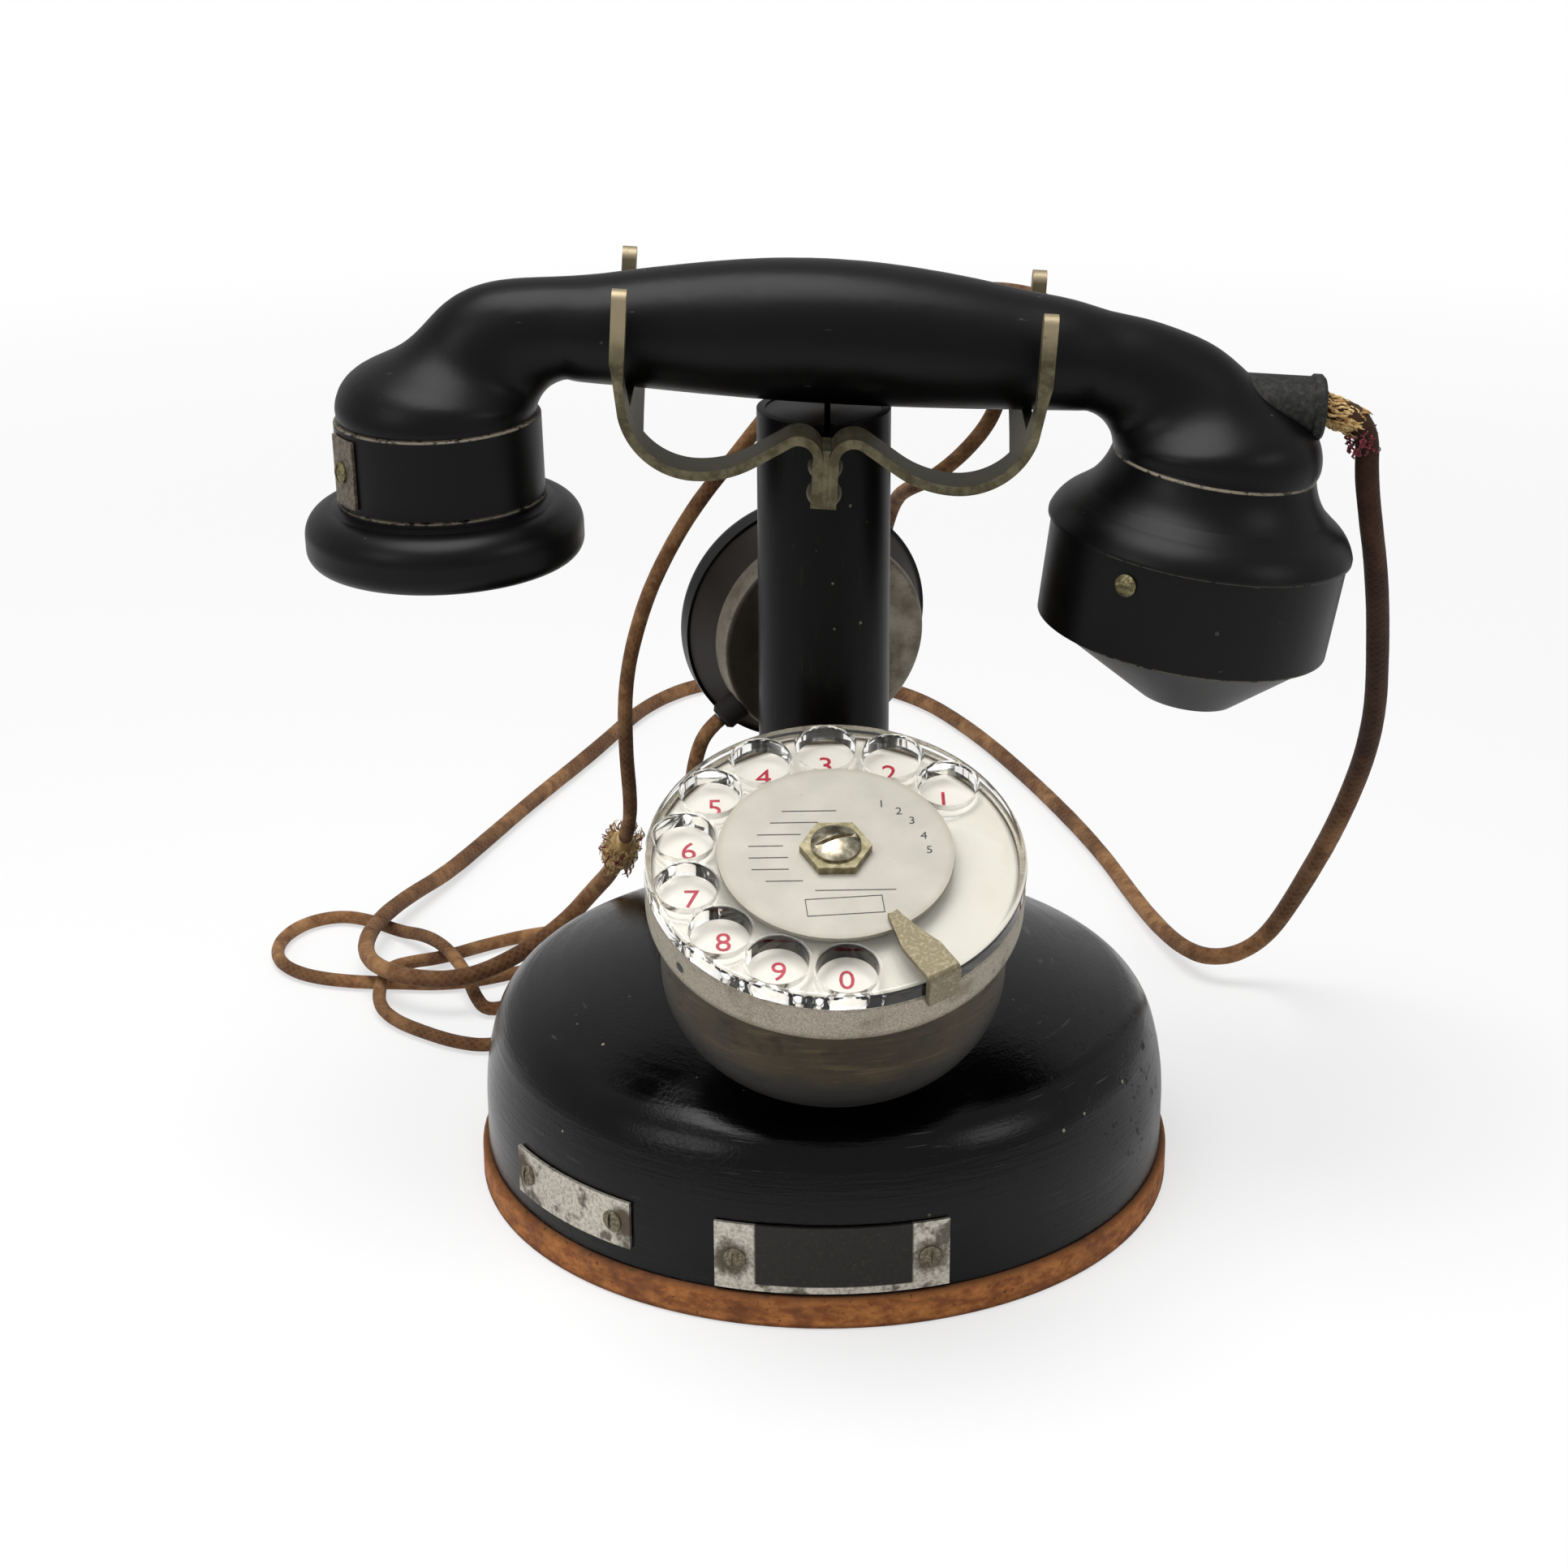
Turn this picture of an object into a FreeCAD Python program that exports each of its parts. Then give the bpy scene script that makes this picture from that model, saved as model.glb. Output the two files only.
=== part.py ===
import FreeCAD, Part
import math
import os
import Sketcher

# A candlestick desk telephone: a domed base with a tilted dial, and a tall column
# whose fork carries a one-piece handset. Millimetres. Z is up, the dial faces -Y,
# and the origin is the middle of the base where it stands.

Vector = FreeCAD.Vector

SIZES = {
    # base ring and bottom plate
    "ring_rad": 86,
    "ring_high": 7.7,
    "ring_bore": 68,
    "ring_recess": 80,
    "ring_edge": 1.5,
    "ring_lip": 3,
    "plate_thick": 2,
    "plate_clear": 0.3,
    "plate_screw_circle": 74,
    "plate_sink": 1.5,
    "plate_screw_count": 4,
    # dome: three tangent arcs, each with its radius and the angle where it ends
    "dome_rad": 84.4,
    "dome_side": 20.3,
    "dome_wall": 1.6,
    "side_curve": 60,
    "side_turn": 17.25,
    "shoulder_curve": 14.6,
    "shoulder_turn": 66.8,
    "crown_curve": 161,
    # column
    "column_rad": 15.6,
    "column_wall": 2,
    "column_drop": 5.8,
    "column_foot": 46,
    "column_clear": 0.1,
    "nut_flats": 42,
    "nut_high": 7,
    "nut_drop": 0.6,
    "slot_wide": 3.4,
    "slot_drop": 22.6,
    # plunger under the fork
    "travel": 6,
    "head_drop": 6.1,
    "head_high": 21.4,
    "running_fit": 0.1,
    "rod_rad": 3,
    "rod_foot": 27,
    "bush_foot": 128,
    "bush_high": 8,
    "spring_wire": 1.4,
    "spring_rad": 7,
    "spring_turns": 7,
    # name plates on the side of the dome
    "badge_thick": 0.8,
    "left_badge_from": 61,
    "left_badge_span": 27,
    "left_badge_foot": 12.8,
    "left_badge_high": 12.1,
    "front_badge_from": 19.3,
    "front_badge_span": 36.9,
    "front_badge_foot": 8.7,
    "front_badge_high": 17.1,
    "badge_screw_in": 3.3,
    "badge_screw_height": 19,
    "front_screw_height": 16.8,
    # small slotted screws
    "screw_head": 2.6,
    "screw_rise": 1.3,
    "screw_shank": 1.5,
    "screw_long": 5,
    "screw_slot": 0.8,
    "screw_gap": 0.1,
    # dial: its frame lies at the lower edge of the band
    "dial_forward": 63.55,
    "dial_height": 98.3,
    "dial_tilt": 22.14,
    "band_rad": 42.5,
    "band_high": 9.8,
    "band_edge": 0.8,
    "band_rim": 1.6,
    "lip_foot": 6.4,
    "lip_top": 7.9,
    "lip_bore": 36,
    "cup_rad": 39.4,
    "cup_wall": 1.6,
    "cup_side": 20,
    "cup_deep": 24.4,
    "cup_turn": 16,
    "collar_rad": 22,
    "collar_bore": 17,
    "wire_hole": 6,
    "number_plate_thick": 1,
    "number_plate_bore": 7,
    "dial_fit": 0.1,
    # finger wheel
    "wheel_gap": 0.3,
    "wheel_top": 14.07,
    "wheel_edge": 1.2,
    "hole_rad": 6.75,
    "hole_flare": 0.7,
    "hole_circle": 34.1,
    "hole_count": 10,
    "hole_pitch": 25.8,
    "hole_first": 40,
    "label_rad": 26.3,
    "label_thick": 0.9,
    "washer_half": 7,
    "washer_thick": 2,
    "centre_head": 5.6,
    "centre_rise": 2.5,
    "centre_shank": 2.4,
    "centre_long": 12,
    "centre_slot": 1.1,
    # finger stop
    "stop_angle": 60,
    "stop_wide": 8,
    "stop_thick": 1.5,
    "stop_foot": 8,
    "stop_blade": 15.4,
    "stop_blade_thick": 1.2,
    "stop_reach": 23,
    "stop_tip": 2.4,
    # dial works inside the cup
    "works_top": 6.4,
    "works_thick": 1.8,
    "bridge_top": -15,
    "bridge_rad": 34,
    "pillar_rad": 2.2,
    "pillar_circle": 31,
    "shaft_rad": 5,
    "shaft_foot": -18,
    "gear_module": 0.8,
    "gear_teeth": 60,
    "pinion_teeth": 12,
    "gear_top": -2,
    "gear_thick": 1.6,
    "gear_backlash": 0.4,
    "governor_angle": 200,
    "governor_shaft": 1.5,
    "governor_rad": 6.4,
    "cam_top": -6.5,
    "cam_rad": 15,
    "cam_tooth": 1.6,
    "contact_reach": 11.5,
    # fork and handset frame
    "fork_side": 1.2,
    "fork_height": 200,
    "fork_turn": 2.2,
    "fork_lean": 3.5,
    "strip_front": 28,
    "strip_wide": 11,
    "strip_thick": 2.2,
    "strip_leg": 0.7,
    "tang_foot": 21.8,
    "hump_curve": 3.3,
    "hump_top": 7.4,
    "strip_slope": 33,
    "strip_run": 9.1,
    "sag_curve": 25.2,
    "sag_rise": 18.4,
    "sag_turn": 77,
    "prong_x": 46.4,
    "prong_thick": 3.3,
    "prong_half": 18.5,
    "prong_wide": 5,
    "prong_top": 24.2,
    "web_foot": 9.2,
    "web_back": 6.9,
    "web_top": 3.4,
    "web_slope": 5,
    "web_reach": 16,
    "blade_thick": 1.3,
    "blade_high": 6,
    "blade_reach": 8,
    "rivet_inset": 3,
    "rivet_rad": 1.5,
    "rivet_head": 2.5,
    "rivet_rise": 1.1,
    # handset grip, formed about the fork frame
    "grip_height": 8.8,
    "grip_neck": 11.2,
    "grip_belly": 5.4,
    "grip_rise": 3.25,
    "grip_swell": 3.8,
    "grip_left": 71.2,
    "grip_right": 73,
    "receiver_elbow": 58.6,
    "throat_elbow": 58,
    "elbow_inner": 8,
    # receiver end
    "receiver_x": 90.2,
    "receiver_z": 13,
    "receiver_tip": 4.7,
    "receiver_rad": 24.1,
    "receiver_wall": 2.4,
    "receiver_long": 19,
    "neck_step": 1.1,
    "ear_rad": 32.7,
    "ear_high": 15.3,
    "ear_round": 4,
    "ear_hole": 6,
    "ear_dish": 4,
    "ear_seat": 8,
    "diaphragm_thick": 0.4,
    "magnet_rad": 9,
    "lock_span": 24,
    "lock_from": 160,
    "lock_foot": 17.6,
    "lock_high": 16,
    # transmitter end
    "transmitter_x": 90.6,
    "transmitter_z": 13.4,
    "transmitter_tip": 4.8,
    "throat_rad": 24,
    "bell_rad": 36,
    "bell_deep": 18,
    "bell_wall": 3,
    "mouth_band_rad": 35.1,
    "mouth_band_foot": 34.5,
    "mouth_band_long": 23.6,
    "cone_deep": 16.1,
    "cone_inset": 1,
    "cone_mouth": 11.8,
    "cone_shift": 4,
    "cone_wall": 2.4,
    "capsule_rad": 29,
    "capsule_high": 11,
    "capsule_foot": 38.5,
    "band_screw_angle": 123,
    # ferrule of the handset cord
    "ferrule_height": 0.7,
    "ferrule_rad": 7.2,
    "ferrule_lip": 7.8,
    "ferrule_lip_long": 3.2,
    "ferrule_end": 114.2,
    "ferrule_long": 34,
    # second receiver, hung behind the column
    "aux_x": 1.2,
    "aux_y": 22,
    "aux_z": 128.7,
    "aux_turn": 17.9,
    "aux_nod": 3,
    "aux_case_rad": 26,
    "aux_case_deep": 7,
    "aux_wall": 1.4,
    "aux_cap_rad": 31.2,
    "aux_cap_at": 13.7,
    "aux_cap_high": 8.3,
    "aux_cap_round": 4,
    "aux_hole": 6,
    "hook_y": 23,
    "hook_z": 165.6,
    "hook_wire": 1.7,
    "hook_tip": 6,
    "hook_bend": 3.4,
    "bail_wire": 1.2,
    "bail_rad": 6,
    "bail_rise": 8,
    "bail_side": 2.5,
    "aux_gland_rad": 3.6,
    "aux_gland_long": 6,
    "aux_gland_angle": 144,
    # inner works of the base
    "works_side": 38,
    "block_y": 40,
    "block_long": 30,
    "block_wide": 14,
    "block_high": 12,
    "coil_rad": 11,
    "coil_long": 44,
    "coil_cheek": 2,
    "pile_x": 9,
    "leaf_thick": 0.5,
    "leaf_gap": 1.2,
    # cord glands in the back of the base
    "gland_height": 14,
    "gland_rad": 4.6,
    "gland_flange": 6,
    "gland_out": 4,
    "gland_deep": 6,
    "gland_pitch": 13,
    # cords
    "cord_rad": 2.35,
    "thin_cord_rad": 1.85,
    "joint_rad": 4.4,
    "joint_long": 16,
    "coil_outer": 27,
    "coil_step": 4.9,
    "coil_layer": 4.3,
    "coil_lift": 0.3,
    "coil_turns": 3,
    "coil_x": 26,
    "coil_y": 140,
    "cord_lead": 4,
    "lug_long": 9,
    "lug_sleeve": 2.6,
}


class Size:
    """A length or an angle: its number, and the sheet expression that gives it."""

    def __init__(self, value, text):
        self.value = float(value)
        self.text = text

    def __add__(self, other):
        return combined(self, "+", other)

    def __radd__(self, other):
        return combined(other, "+", self)

    def __sub__(self, other):
        return combined(self, "-", other)

    def __rsub__(self, other):
        return combined(other, "-", self)

    def __mul__(self, other):
        return combined(self, "*", other)

    def __rmul__(self, other):
        return combined(other, "*", self)

    def __truediv__(self, other):
        return combined(self, "/", other)

    def __rtruediv__(self, other):
        return combined(other, "/", self)

    def __neg__(self):
        return combined(0, "-", self)

    def __float__(self):
        return self.value


class Sheet:
    """The driving sizes by name, as they stand in the spreadsheet."""

    def __getattr__(self, name):
        return Size(sheet.get(name), "sizes." + name)


def as_size(value):
    return value if isinstance(value, Size) else Size(value, repr(float(value)))


def combined(left, sign, right):
    left, right = as_size(left), as_size(right)
    results = {
        "+": lambda a, b: a + b,
        "-": lambda a, b: a - b,
        "*": lambda a, b: a * b,
        "/": lambda a, b: a / b,
    }
    return Size(results[sign](left.value, right.value), f"({left.text} {sign} {right.text})")


def sine(angle):
    angle = as_size(angle)
    return Size(math.sin(math.radians(angle.value)), f"sin({angle.text} * 1 deg)")


def cosine(angle):
    angle = as_size(angle)
    return Size(math.cos(math.radians(angle.value)), f"cos({angle.text} * 1 deg)")


def root(value):
    value = as_size(value)
    return Size(math.sqrt(value.value), f"sqrt({value.text})")


doc = FreeCAD.newDocument("telephone")
sheet = doc.addObject("Spreadsheet::Sheet", "sizes")
for row, (alias, number) in enumerate(SIZES.items(), 1):
    sheet.set(f"A{row}", alias)
    sheet.set(f"B{row}", str(number))
    sheet.setAlias(f"B{row}", alias)
doc.recompute()
size = Sheet()
pieces = []


def place(x=0, y=0, z=0, yaw=0, pitch=0, roll=0):
    """The expression of a placement: an offset and a turn about Z, then Y, then X."""
    x, y, z, yaw, pitch, roll = (as_size(value).text for value in (x, y, z, yaw, pitch, roll))
    return (f"create(<<placement>>; create(<<vector>>; {x}; {y}; {z}); "
            f"create(<<rotation>>; {yaw}; {pitch}; {roll}))")


def put(item, *places):
    """Bind where an item stands, each place within the one before it."""
    if places:
        item.setExpression("Placement", " * ".join(places))
    return item


def bind(item, **lengths):
    for name, value in lengths.items():
        item.setExpression(name, as_size(value).text)
    return item


def rod(label, radius, height, *places):
    return put(bind(doc.addObject("Part::Cylinder", label), Radius=radius, Height=height), *places)


def block(label, length, width, height, *places):
    box = doc.addObject("Part::Box", label)
    return put(bind(box, Length=length, Width=width, Height=height), *places)


def cut(label, base, *tools):
    tool = tools[0]
    if len(tools) > 1:
        tool = joined(label + "_tools", *tools)
    result = doc.addObject("Part::Cut", label)
    result.Base, result.Tool = base, tool
    return result


def joined(label, *shapes):
    result = doc.addObject("Part::MultiFuse", label)
    result.Shapes = list(shapes)
    return result


def common(label, base, tool):
    result = doc.addObject("Part::Common", label)
    result.Base, result.Tool = base, tool
    return result


def group(label, *members):
    result = doc.addObject("Part::Compound", label)
    result.Links = list(members)
    return result


def copies(master, places):
    """One more of the same item at each place."""
    links = []
    for where in places:
        link = doc.addObject("App::Link", master.Label + "_copy")
        link.LinkedObject = master
        link.LinkTransform = False
        links.append(put(link, where))
    return links


def piece(item, label=None):
    """Keep an item as a finished piece of the telephone, under its own name."""
    item.Label = label or item.Label
    pieces.append(item)
    return item


def custom(label, shape, *places):
    """A piece whose form is worked out here from the sheet's sizes."""
    item = doc.addObject("Part::Feature", label)
    item.Shape = shape
    return put(item, *places)


def arc_centre(start, end, radius):
    """Centre of the short arc between two points that bulges left of the way, or right."""
    across, along = end[0] - start[0], end[1] - start[1]
    chord = math.hypot(across, along)
    reach = math.sqrt(max(radius * radius - chord * chord / 4, 0))
    side = 1 if radius > 0 else -1
    return ((start[0] + end[0]) / 2 + side * along / chord * reach,
            (start[1] + end[1]) / 2 - side * across / chord * reach)


def outline(body, plane, points):
    """A closed sketch on one of the body's origin planes.

    A point with a third value starts an arc of that radius to the next point. The arc
    bulges to the left of the way there, or to the right where the value is negative.
    """
    sketch = body.newObject("Sketcher::SketchObject", body.Label + "_outline")
    support = [flat for flat in body.Origin.OriginFeatures if flat.Role == plane]
    sketch.AttachmentSupport = [(support[0], "")]
    sketch.MapMode = "FlatFace"
    numbers = [[as_size(value).value for value in point] for point in points]
    ends = []
    for index, start in enumerate(numbers):
        end = numbers[(index + 1) % len(numbers)]
        first, last = Vector(start[0], start[1]), Vector(end[0], end[1])
        if len(start) == 2:
            sketch.addGeometry(Part.LineSegment(first, last), False)
            ends.append((1, 2))
            continue
        centre = Vector(*arc_centre(start, end, start[2]))
        circle = Part.Circle(centre, Vector(0, 0, 1), abs(start[2]))
        turn = [math.atan2(spot.y - centre.y, spot.x - centre.x) for spot in (first, last)]
        if start[2] > 0:
            sketch.addGeometry(Part.ArcOfCircle(circle, turn[1], turn[0]), False)
            ends.append((2, 1))
        else:
            sketch.addGeometry(Part.ArcOfCircle(circle, turn[0], turn[1]), False)
            ends.append((1, 2))
    for index, (begin, finish) in enumerate(ends):
        following = (index + 1) % len(ends)
        sketch.addConstraint(
            Sketcher.Constraint("Coincident", index, finish, following, ends[following][0]))
    for index, point in enumerate(points):
        begin = ends[index][0]
        for kind, value in zip(("DistanceX", "DistanceY"), point):
            value = as_size(value)
            number = sketch.addConstraint(
                Sketcher.Constraint(kind, -1, 1, index, begin, value.value))
            if "sizes" in value.text:
                sketch.setExpression(f"Constraints[{number}]", value.text)
        if len(point) == 3:
            radius = as_size(point[2])
            number = sketch.addConstraint(
                Sketcher.Constraint("Radius", index, abs(radius.value)))
            sketch.setExpression(f"Constraints[{number}]", f"abs({radius.text})")
    return sketch


def turned(label, points, *places):
    """A body turned about its own Z axis from half an outline of (radius, height)."""
    body = doc.addObject("PartDesign::Body", label)
    sketch = outline(body, "XZ_Plane", points)
    turn = body.newObject("PartDesign::Revolution", label + "_turn")
    turn.Profile = sketch
    turn.ReferenceAxis = (sketch, ["V_Axis"])
    turn.Angle = 360
    return put(body, *places)


def padded(label, plane, points, thickness, *places):
    """A body raised from an outline: along +Z, -Y or +X from the XY, XZ or YZ plane."""
    body = doc.addObject("PartDesign::Body", label)
    sketch = outline(body, plane, points)
    pad = body.newObject("PartDesign::Pad", label + "_pad")
    pad.Profile = sketch
    bind(pad, Length=thickness)
    return put(body, *places)


def tube_outline(bore, radius, foot, top):
    return [(bore, foot), (radius, foot), (radius, top), (bore, top)]


def disc_outline(radius, foot, top):
    return [(0, foot), (radius, foot), (radius, top), (0, top)]


def screw(label, head, rise, shank, length, slot, *places):
    """A round-headed slotted screw whose head sits on its frame's z = 0."""
    lip = rise * 0.3
    dome = rise - lip
    curve = (head * head + dome * dome) / (2 * dome)
    blank = turned(label + "_blank", [
        (0, -length), (shank, -length), (shank, 0), (head, 0), (head, lip, -curve), (0, rise)])
    slit = block(label + "_slit", head * 2.4, slot, rise,
                 place(x=-head * 1.2, y=-slot / 2, z=rise * 0.5))
    return put(cut(label, blank, slit), *places)


def small_screw(label, *places):
    return screw(label, size.screw_head, size.screw_rise, size.screw_shank, size.screw_long,
                 size.screw_slot, *places)


def small_hole(label, *places):
    """The hole that a small screw's shank passes, with its clearance."""
    inner = place(z=-size.screw_long - size.screw_gap)
    return rod(label, size.screw_shank + size.screw_gap, size.screw_long + 2, *places, inner)


def on_side(azimuth, radius, height):
    """A frame on an upright cylinder, its Z axis pointing out; 0 degrees is the front."""
    return (place(yaw=azimuth - 90) + " * "
            + place(x=radius, z=height, pitch=90))


# Frames that several pieces share.
DIAL = place(y=-size.dial_forward, z=size.dial_height, roll=size.dial_tilt)
FORK = place(x=size.fork_side, z=size.fork_height, yaw=-size.fork_turn, pitch=size.fork_lean)
RECEIVER = FORK + " * " + place(x=-size.receiver_x, z=-size.receiver_z,
                                pitch=-size.receiver_tip)
TRANSMITTER = FORK + " * " + place(x=size.transmitter_x, z=-size.transmitter_z,
                                   pitch=size.transmitter_tip)
AUX = place(x=size.aux_x, y=size.aux_y, z=size.aux_z, yaw=size.aux_turn,
            roll=size.aux_nod - 90)


def dome_points(inset):
    """The arcs' ends of the dome's section, this far inside its outer skin."""
    first = size.side_turn
    second = size.shoulder_turn
    side_x = size.dome_rad - size.side_curve
    shoulder_x = side_x + (size.side_curve - size.shoulder_curve) * cosine(first)
    shoulder_z = size.dome_side + (size.side_curve - size.shoulder_curve) * sine(first)
    crown_x = shoulder_x - (size.crown_curve - size.shoulder_curve) * cosine(second)
    crown_z = shoulder_z - (size.crown_curve - size.shoulder_curve) * sine(second)
    side = size.side_curve - inset
    shoulder = size.shoulder_curve - inset
    crown = size.crown_curve - inset
    hole = size.column_rad + size.column_clear
    return [
        (size.dome_rad - inset, size.dome_side, side),
        (side_x + side * cosine(first), size.dome_side + side * sine(first), shoulder),
        (shoulder_x + shoulder * cosine(second), shoulder_z + shoulder * sine(second), crown),
        (hole, crown_z + root(crown * crown - (hole - crown_x) * (hole - crown_x)))]


outer_dome = [tuple([-value if at == 2 else value for at, value in enumerate(point)])
              for point in dome_points(0)]
inner_dome = dome_points(size.dome_wall)
crown_under = inner_dome[-1][1]
crown_above = outer_dome[-1][1]


def backwards(points):
    """The same outline points the other way round, with each arc on its new start."""
    turned_round = []
    for index in range(len(points) - 1, -1, -1):
        point = points[index][:2]
        before = points[index - 1] if index else ()
        turned_round.append(point + (before[2],) if len(before) == 3 else point)
    return turned_round


def make_base():
    ring_foot = size.ring_high + size.ring_lip
    seat = size.dome_rad - size.dome_wall - size.plate_clear
    ring = turned("ring_blank", [
        (size.ring_recess, 0), (size.ring_rad, 0),
        (size.ring_rad, size.ring_high - size.ring_edge, -size.ring_edge),
        (size.ring_rad - size.ring_edge, size.ring_high), (seat, size.ring_high),
        (seat, ring_foot), (size.ring_bore, ring_foot),
        (size.ring_bore, size.plate_thick), (size.ring_recess, size.plate_thick)])
    ways = plate_screw_places()
    gland_ways = [rod("ring_way", size.gland_flange + size.screw_gap, 20, frame, place(z=-10))
                  for frame in gland_frames()]
    ring_holes = [small_hole("ring_hole", way) for way in ways]
    piece(cut("base_ring", ring, *ring_holes, *gland_ways))

    shell = turned("dome_shell", [
        (size.dome_rad - size.dome_wall, size.ring_high), (size.dome_rad, size.ring_high)]
        + outer_dome + backwards(inner_dome))
    badge_holes = [small_hole("badge_hole", where) for where in badge_screw_places()]
    gland_holes = [rod("gland_hole", size.gland_rad + size.screw_gap, 20, frame, place(z=-10))
                   for frame in gland_frames()]
    wire_way = rod("dome_wire_way", size.wire_hole, 40, DIAL, place(z=-75))
    piece(cut("base_dome", shell, wire_way, *badge_holes, *gland_holes))

    plate = turned("plate_blank", disc_outline(
        size.ring_recess - size.plate_clear, 0, size.plate_thick))
    holes = [small_hole("plate_hole", way) for way in ways]
    sinks = [rod("plate_sink", size.screw_head + size.screw_gap, 4, way) for way in ways]
    piece(cut("bottom_plate", plate, *holes, *sinks))


def plate_screw_places():
    """The bottom plate's screws, heads down in their sinks."""
    return [place(yaw=45 + 360 * turn / SIZES["plate_screw_count"]) + " * "
            + place(x=size.plate_screw_circle, z=size.plate_sink, roll=180)
            for turn in range(SIZES["plate_screw_count"])]


def badge_screw_places():
    """The four name plate screws, as frames on the outside of their plates."""
    out = size.dome_rad + size.badge_thick + size.screw_gap
    left = -size.left_badge_from
    front = -size.front_badge_from
    return [
        on_side(left + size.badge_screw_in, out, size.badge_screw_height),
        on_side(left + size.left_badge_span - size.badge_screw_in, out,
                size.badge_screw_height),
        on_side(front + size.badge_screw_in, out, size.front_screw_height),
        on_side(front + size.front_badge_span - size.badge_screw_in, out,
                size.front_screw_height)]


def make_badges():
    def plate(label, start, span, foot, high, holes):
        inner = size.dome_rad + size.screw_gap
        where = place(yaw=start - 90, z=foot)
        solid = bind(rod(label + "_solid", inner + size.badge_thick, high, where), Angle=span)
        core = rod(label + "_core", inner, high + 2, place(z=foot - 1))
        return piece(cut(label, solid, core, *holes))

    frames = badge_screw_places()
    holes = [small_hole("plate_screw_hole", frame) for frame in frames]
    plate("left_name_plate", -size.left_badge_from, size.left_badge_span,
          size.left_badge_foot, size.left_badge_high, holes[:2])
    plate("front_name_plate", -size.front_badge_from, size.front_badge_span,
          size.front_badge_foot, size.front_badge_high, holes[2:])
    first = small_screw("small_screw", frames[0])
    others = frames[1:] + plate_screw_places()
    piece(group("small_screws", first, *copies(first, others)))


def gland_frames():
    """The cord glands at the back of the base, side by side."""
    return [on_side(180 + size.gland_pitch * step, size.dome_rad, size.gland_height)
            for step in (-1, 0, 1)]


def gland_outline(bore, reach, deep):
    """A bush with a flange; the cord stands in its blind bore."""
    return [
        (0, -deep), (size.gland_rad, -deep), (size.gland_rad, 0), (size.gland_flange, 0),
        (size.gland_flange, 1.5), (size.gland_rad, reach), (bore, reach),
        (bore, 1 - deep), (0, 1 - deep)]


def make_glands():
    bore = size.thin_cord_rad + size.screw_gap
    first = turned("gland", gland_outline(bore, size.gland_out, size.gland_deep),
                   gland_frames()[0])
    piece(group("cord_glands", first, *copies(first, gland_frames()[1:])))


def make_column():
    inner = size.column_rad - size.column_wall
    tube = turned("column_blank", tube_outline(
        inner, size.column_rad, size.column_foot, size.fork_height - size.column_drop))
    slot = block("column_slot", size.slot_wide, size.column_rad + 2, 60,
                 place(x=-size.slot_wide / 2, y=-size.column_rad - 2,
                       z=size.fork_height - size.slot_drop))
    piece(cut("column_tube", tube, slot))

    nut_top = crown_under - size.nut_drop
    hexagon = bind(doc.addObject("Part::Prism", "nut_hexagon"),
                   Circumradius=size.nut_flats / cosine(30) / 2, Height=size.nut_high)
    put(hexagon, place(z=nut_top - size.nut_high))
    bore = rod("nut_bore", size.column_rad + size.column_clear, 40,
               place(z=nut_top - 20))
    piece(cut("column_nut", hexagon, bore))


def make_plunger():
    inner = size.column_rad - size.column_wall
    head_top = size.fork_height - size.head_drop
    head_foot = head_top - size.head_high
    head = turned("head_blank", [
        (0, size.rod_foot), (size.rod_rad, size.rod_foot), (size.rod_rad, head_foot),
        (inner - size.running_fit, head_foot), (inner - size.running_fit, head_top),
        (0, head_top)])
    seat = block("blade_seat", size.blade_thick + size.screw_gap, 60, 60, FORK,
                 place(x=-(size.blade_thick + size.screw_gap) / 2, y=-30, z=-size.tang_foot))
    piece(cut("plunger", head, seat))
    piece(turned("plunger_bush", tube_outline(
        size.rod_rad + size.running_fit, inner - size.column_clear,
        size.bush_foot, size.bush_foot + size.bush_high)))
    low = size.bush_foot.value + size.bush_high.value + size.spring_wire.value
    high = head_foot.value - size.spring_wire.value
    steps = int(4 * size.spring_turns.value)
    points = []
    for step in range(steps + 1):
        turn = math.radians(90 * step)
        points.append(Vector(size.spring_rad.value * math.cos(turn),
                             size.spring_rad.value * math.sin(turn),
                             low + (high - low) * step / steps))
    piece(custom("plunger_spring", wound_tube(points, size.spring_wire.value / 2)))


def biarc(start, leave, end, arrive):
    """Two tangent arcs from start to end that leave and arrive along unit vectors."""
    chord = end.sub(start)
    both = leave.add(arrive)
    fall = 2 * (leave.dot(arrive) - 1)
    half = -chord.dot(both)
    reach = chord.dot(chord) / (-2 * half) if abs(fall) < 1e-9 else (
        (-half - math.sqrt(half * half - fall * chord.dot(chord))) / fall)
    middle = (start + end + (leave - arrive) * reach) * 0.5
    return [tangent_arc(start, leave, middle), tangent_arc(end, arrive * -1, middle, True)]


def tangent_arc(start, leave, end, flip=False):
    chord = end.sub(start)
    half = chord.Length / 2
    way = chord * (1 / chord.Length)
    side = leave - way * leave.dot(way)
    if side.Length < 1e-6:
        return Part.makeLine(end, start) if flip else Part.makeLine(start, end)
    rise = half * math.tan(math.acos(min(1, leave.dot(way))) / 2)
    top = (start + end) * 0.5 + side * (rise / side.Length)
    ends = (end, start) if flip else (start, end)
    return Part.Arc(ends[0], top, ends[1]).toShape()


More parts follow.
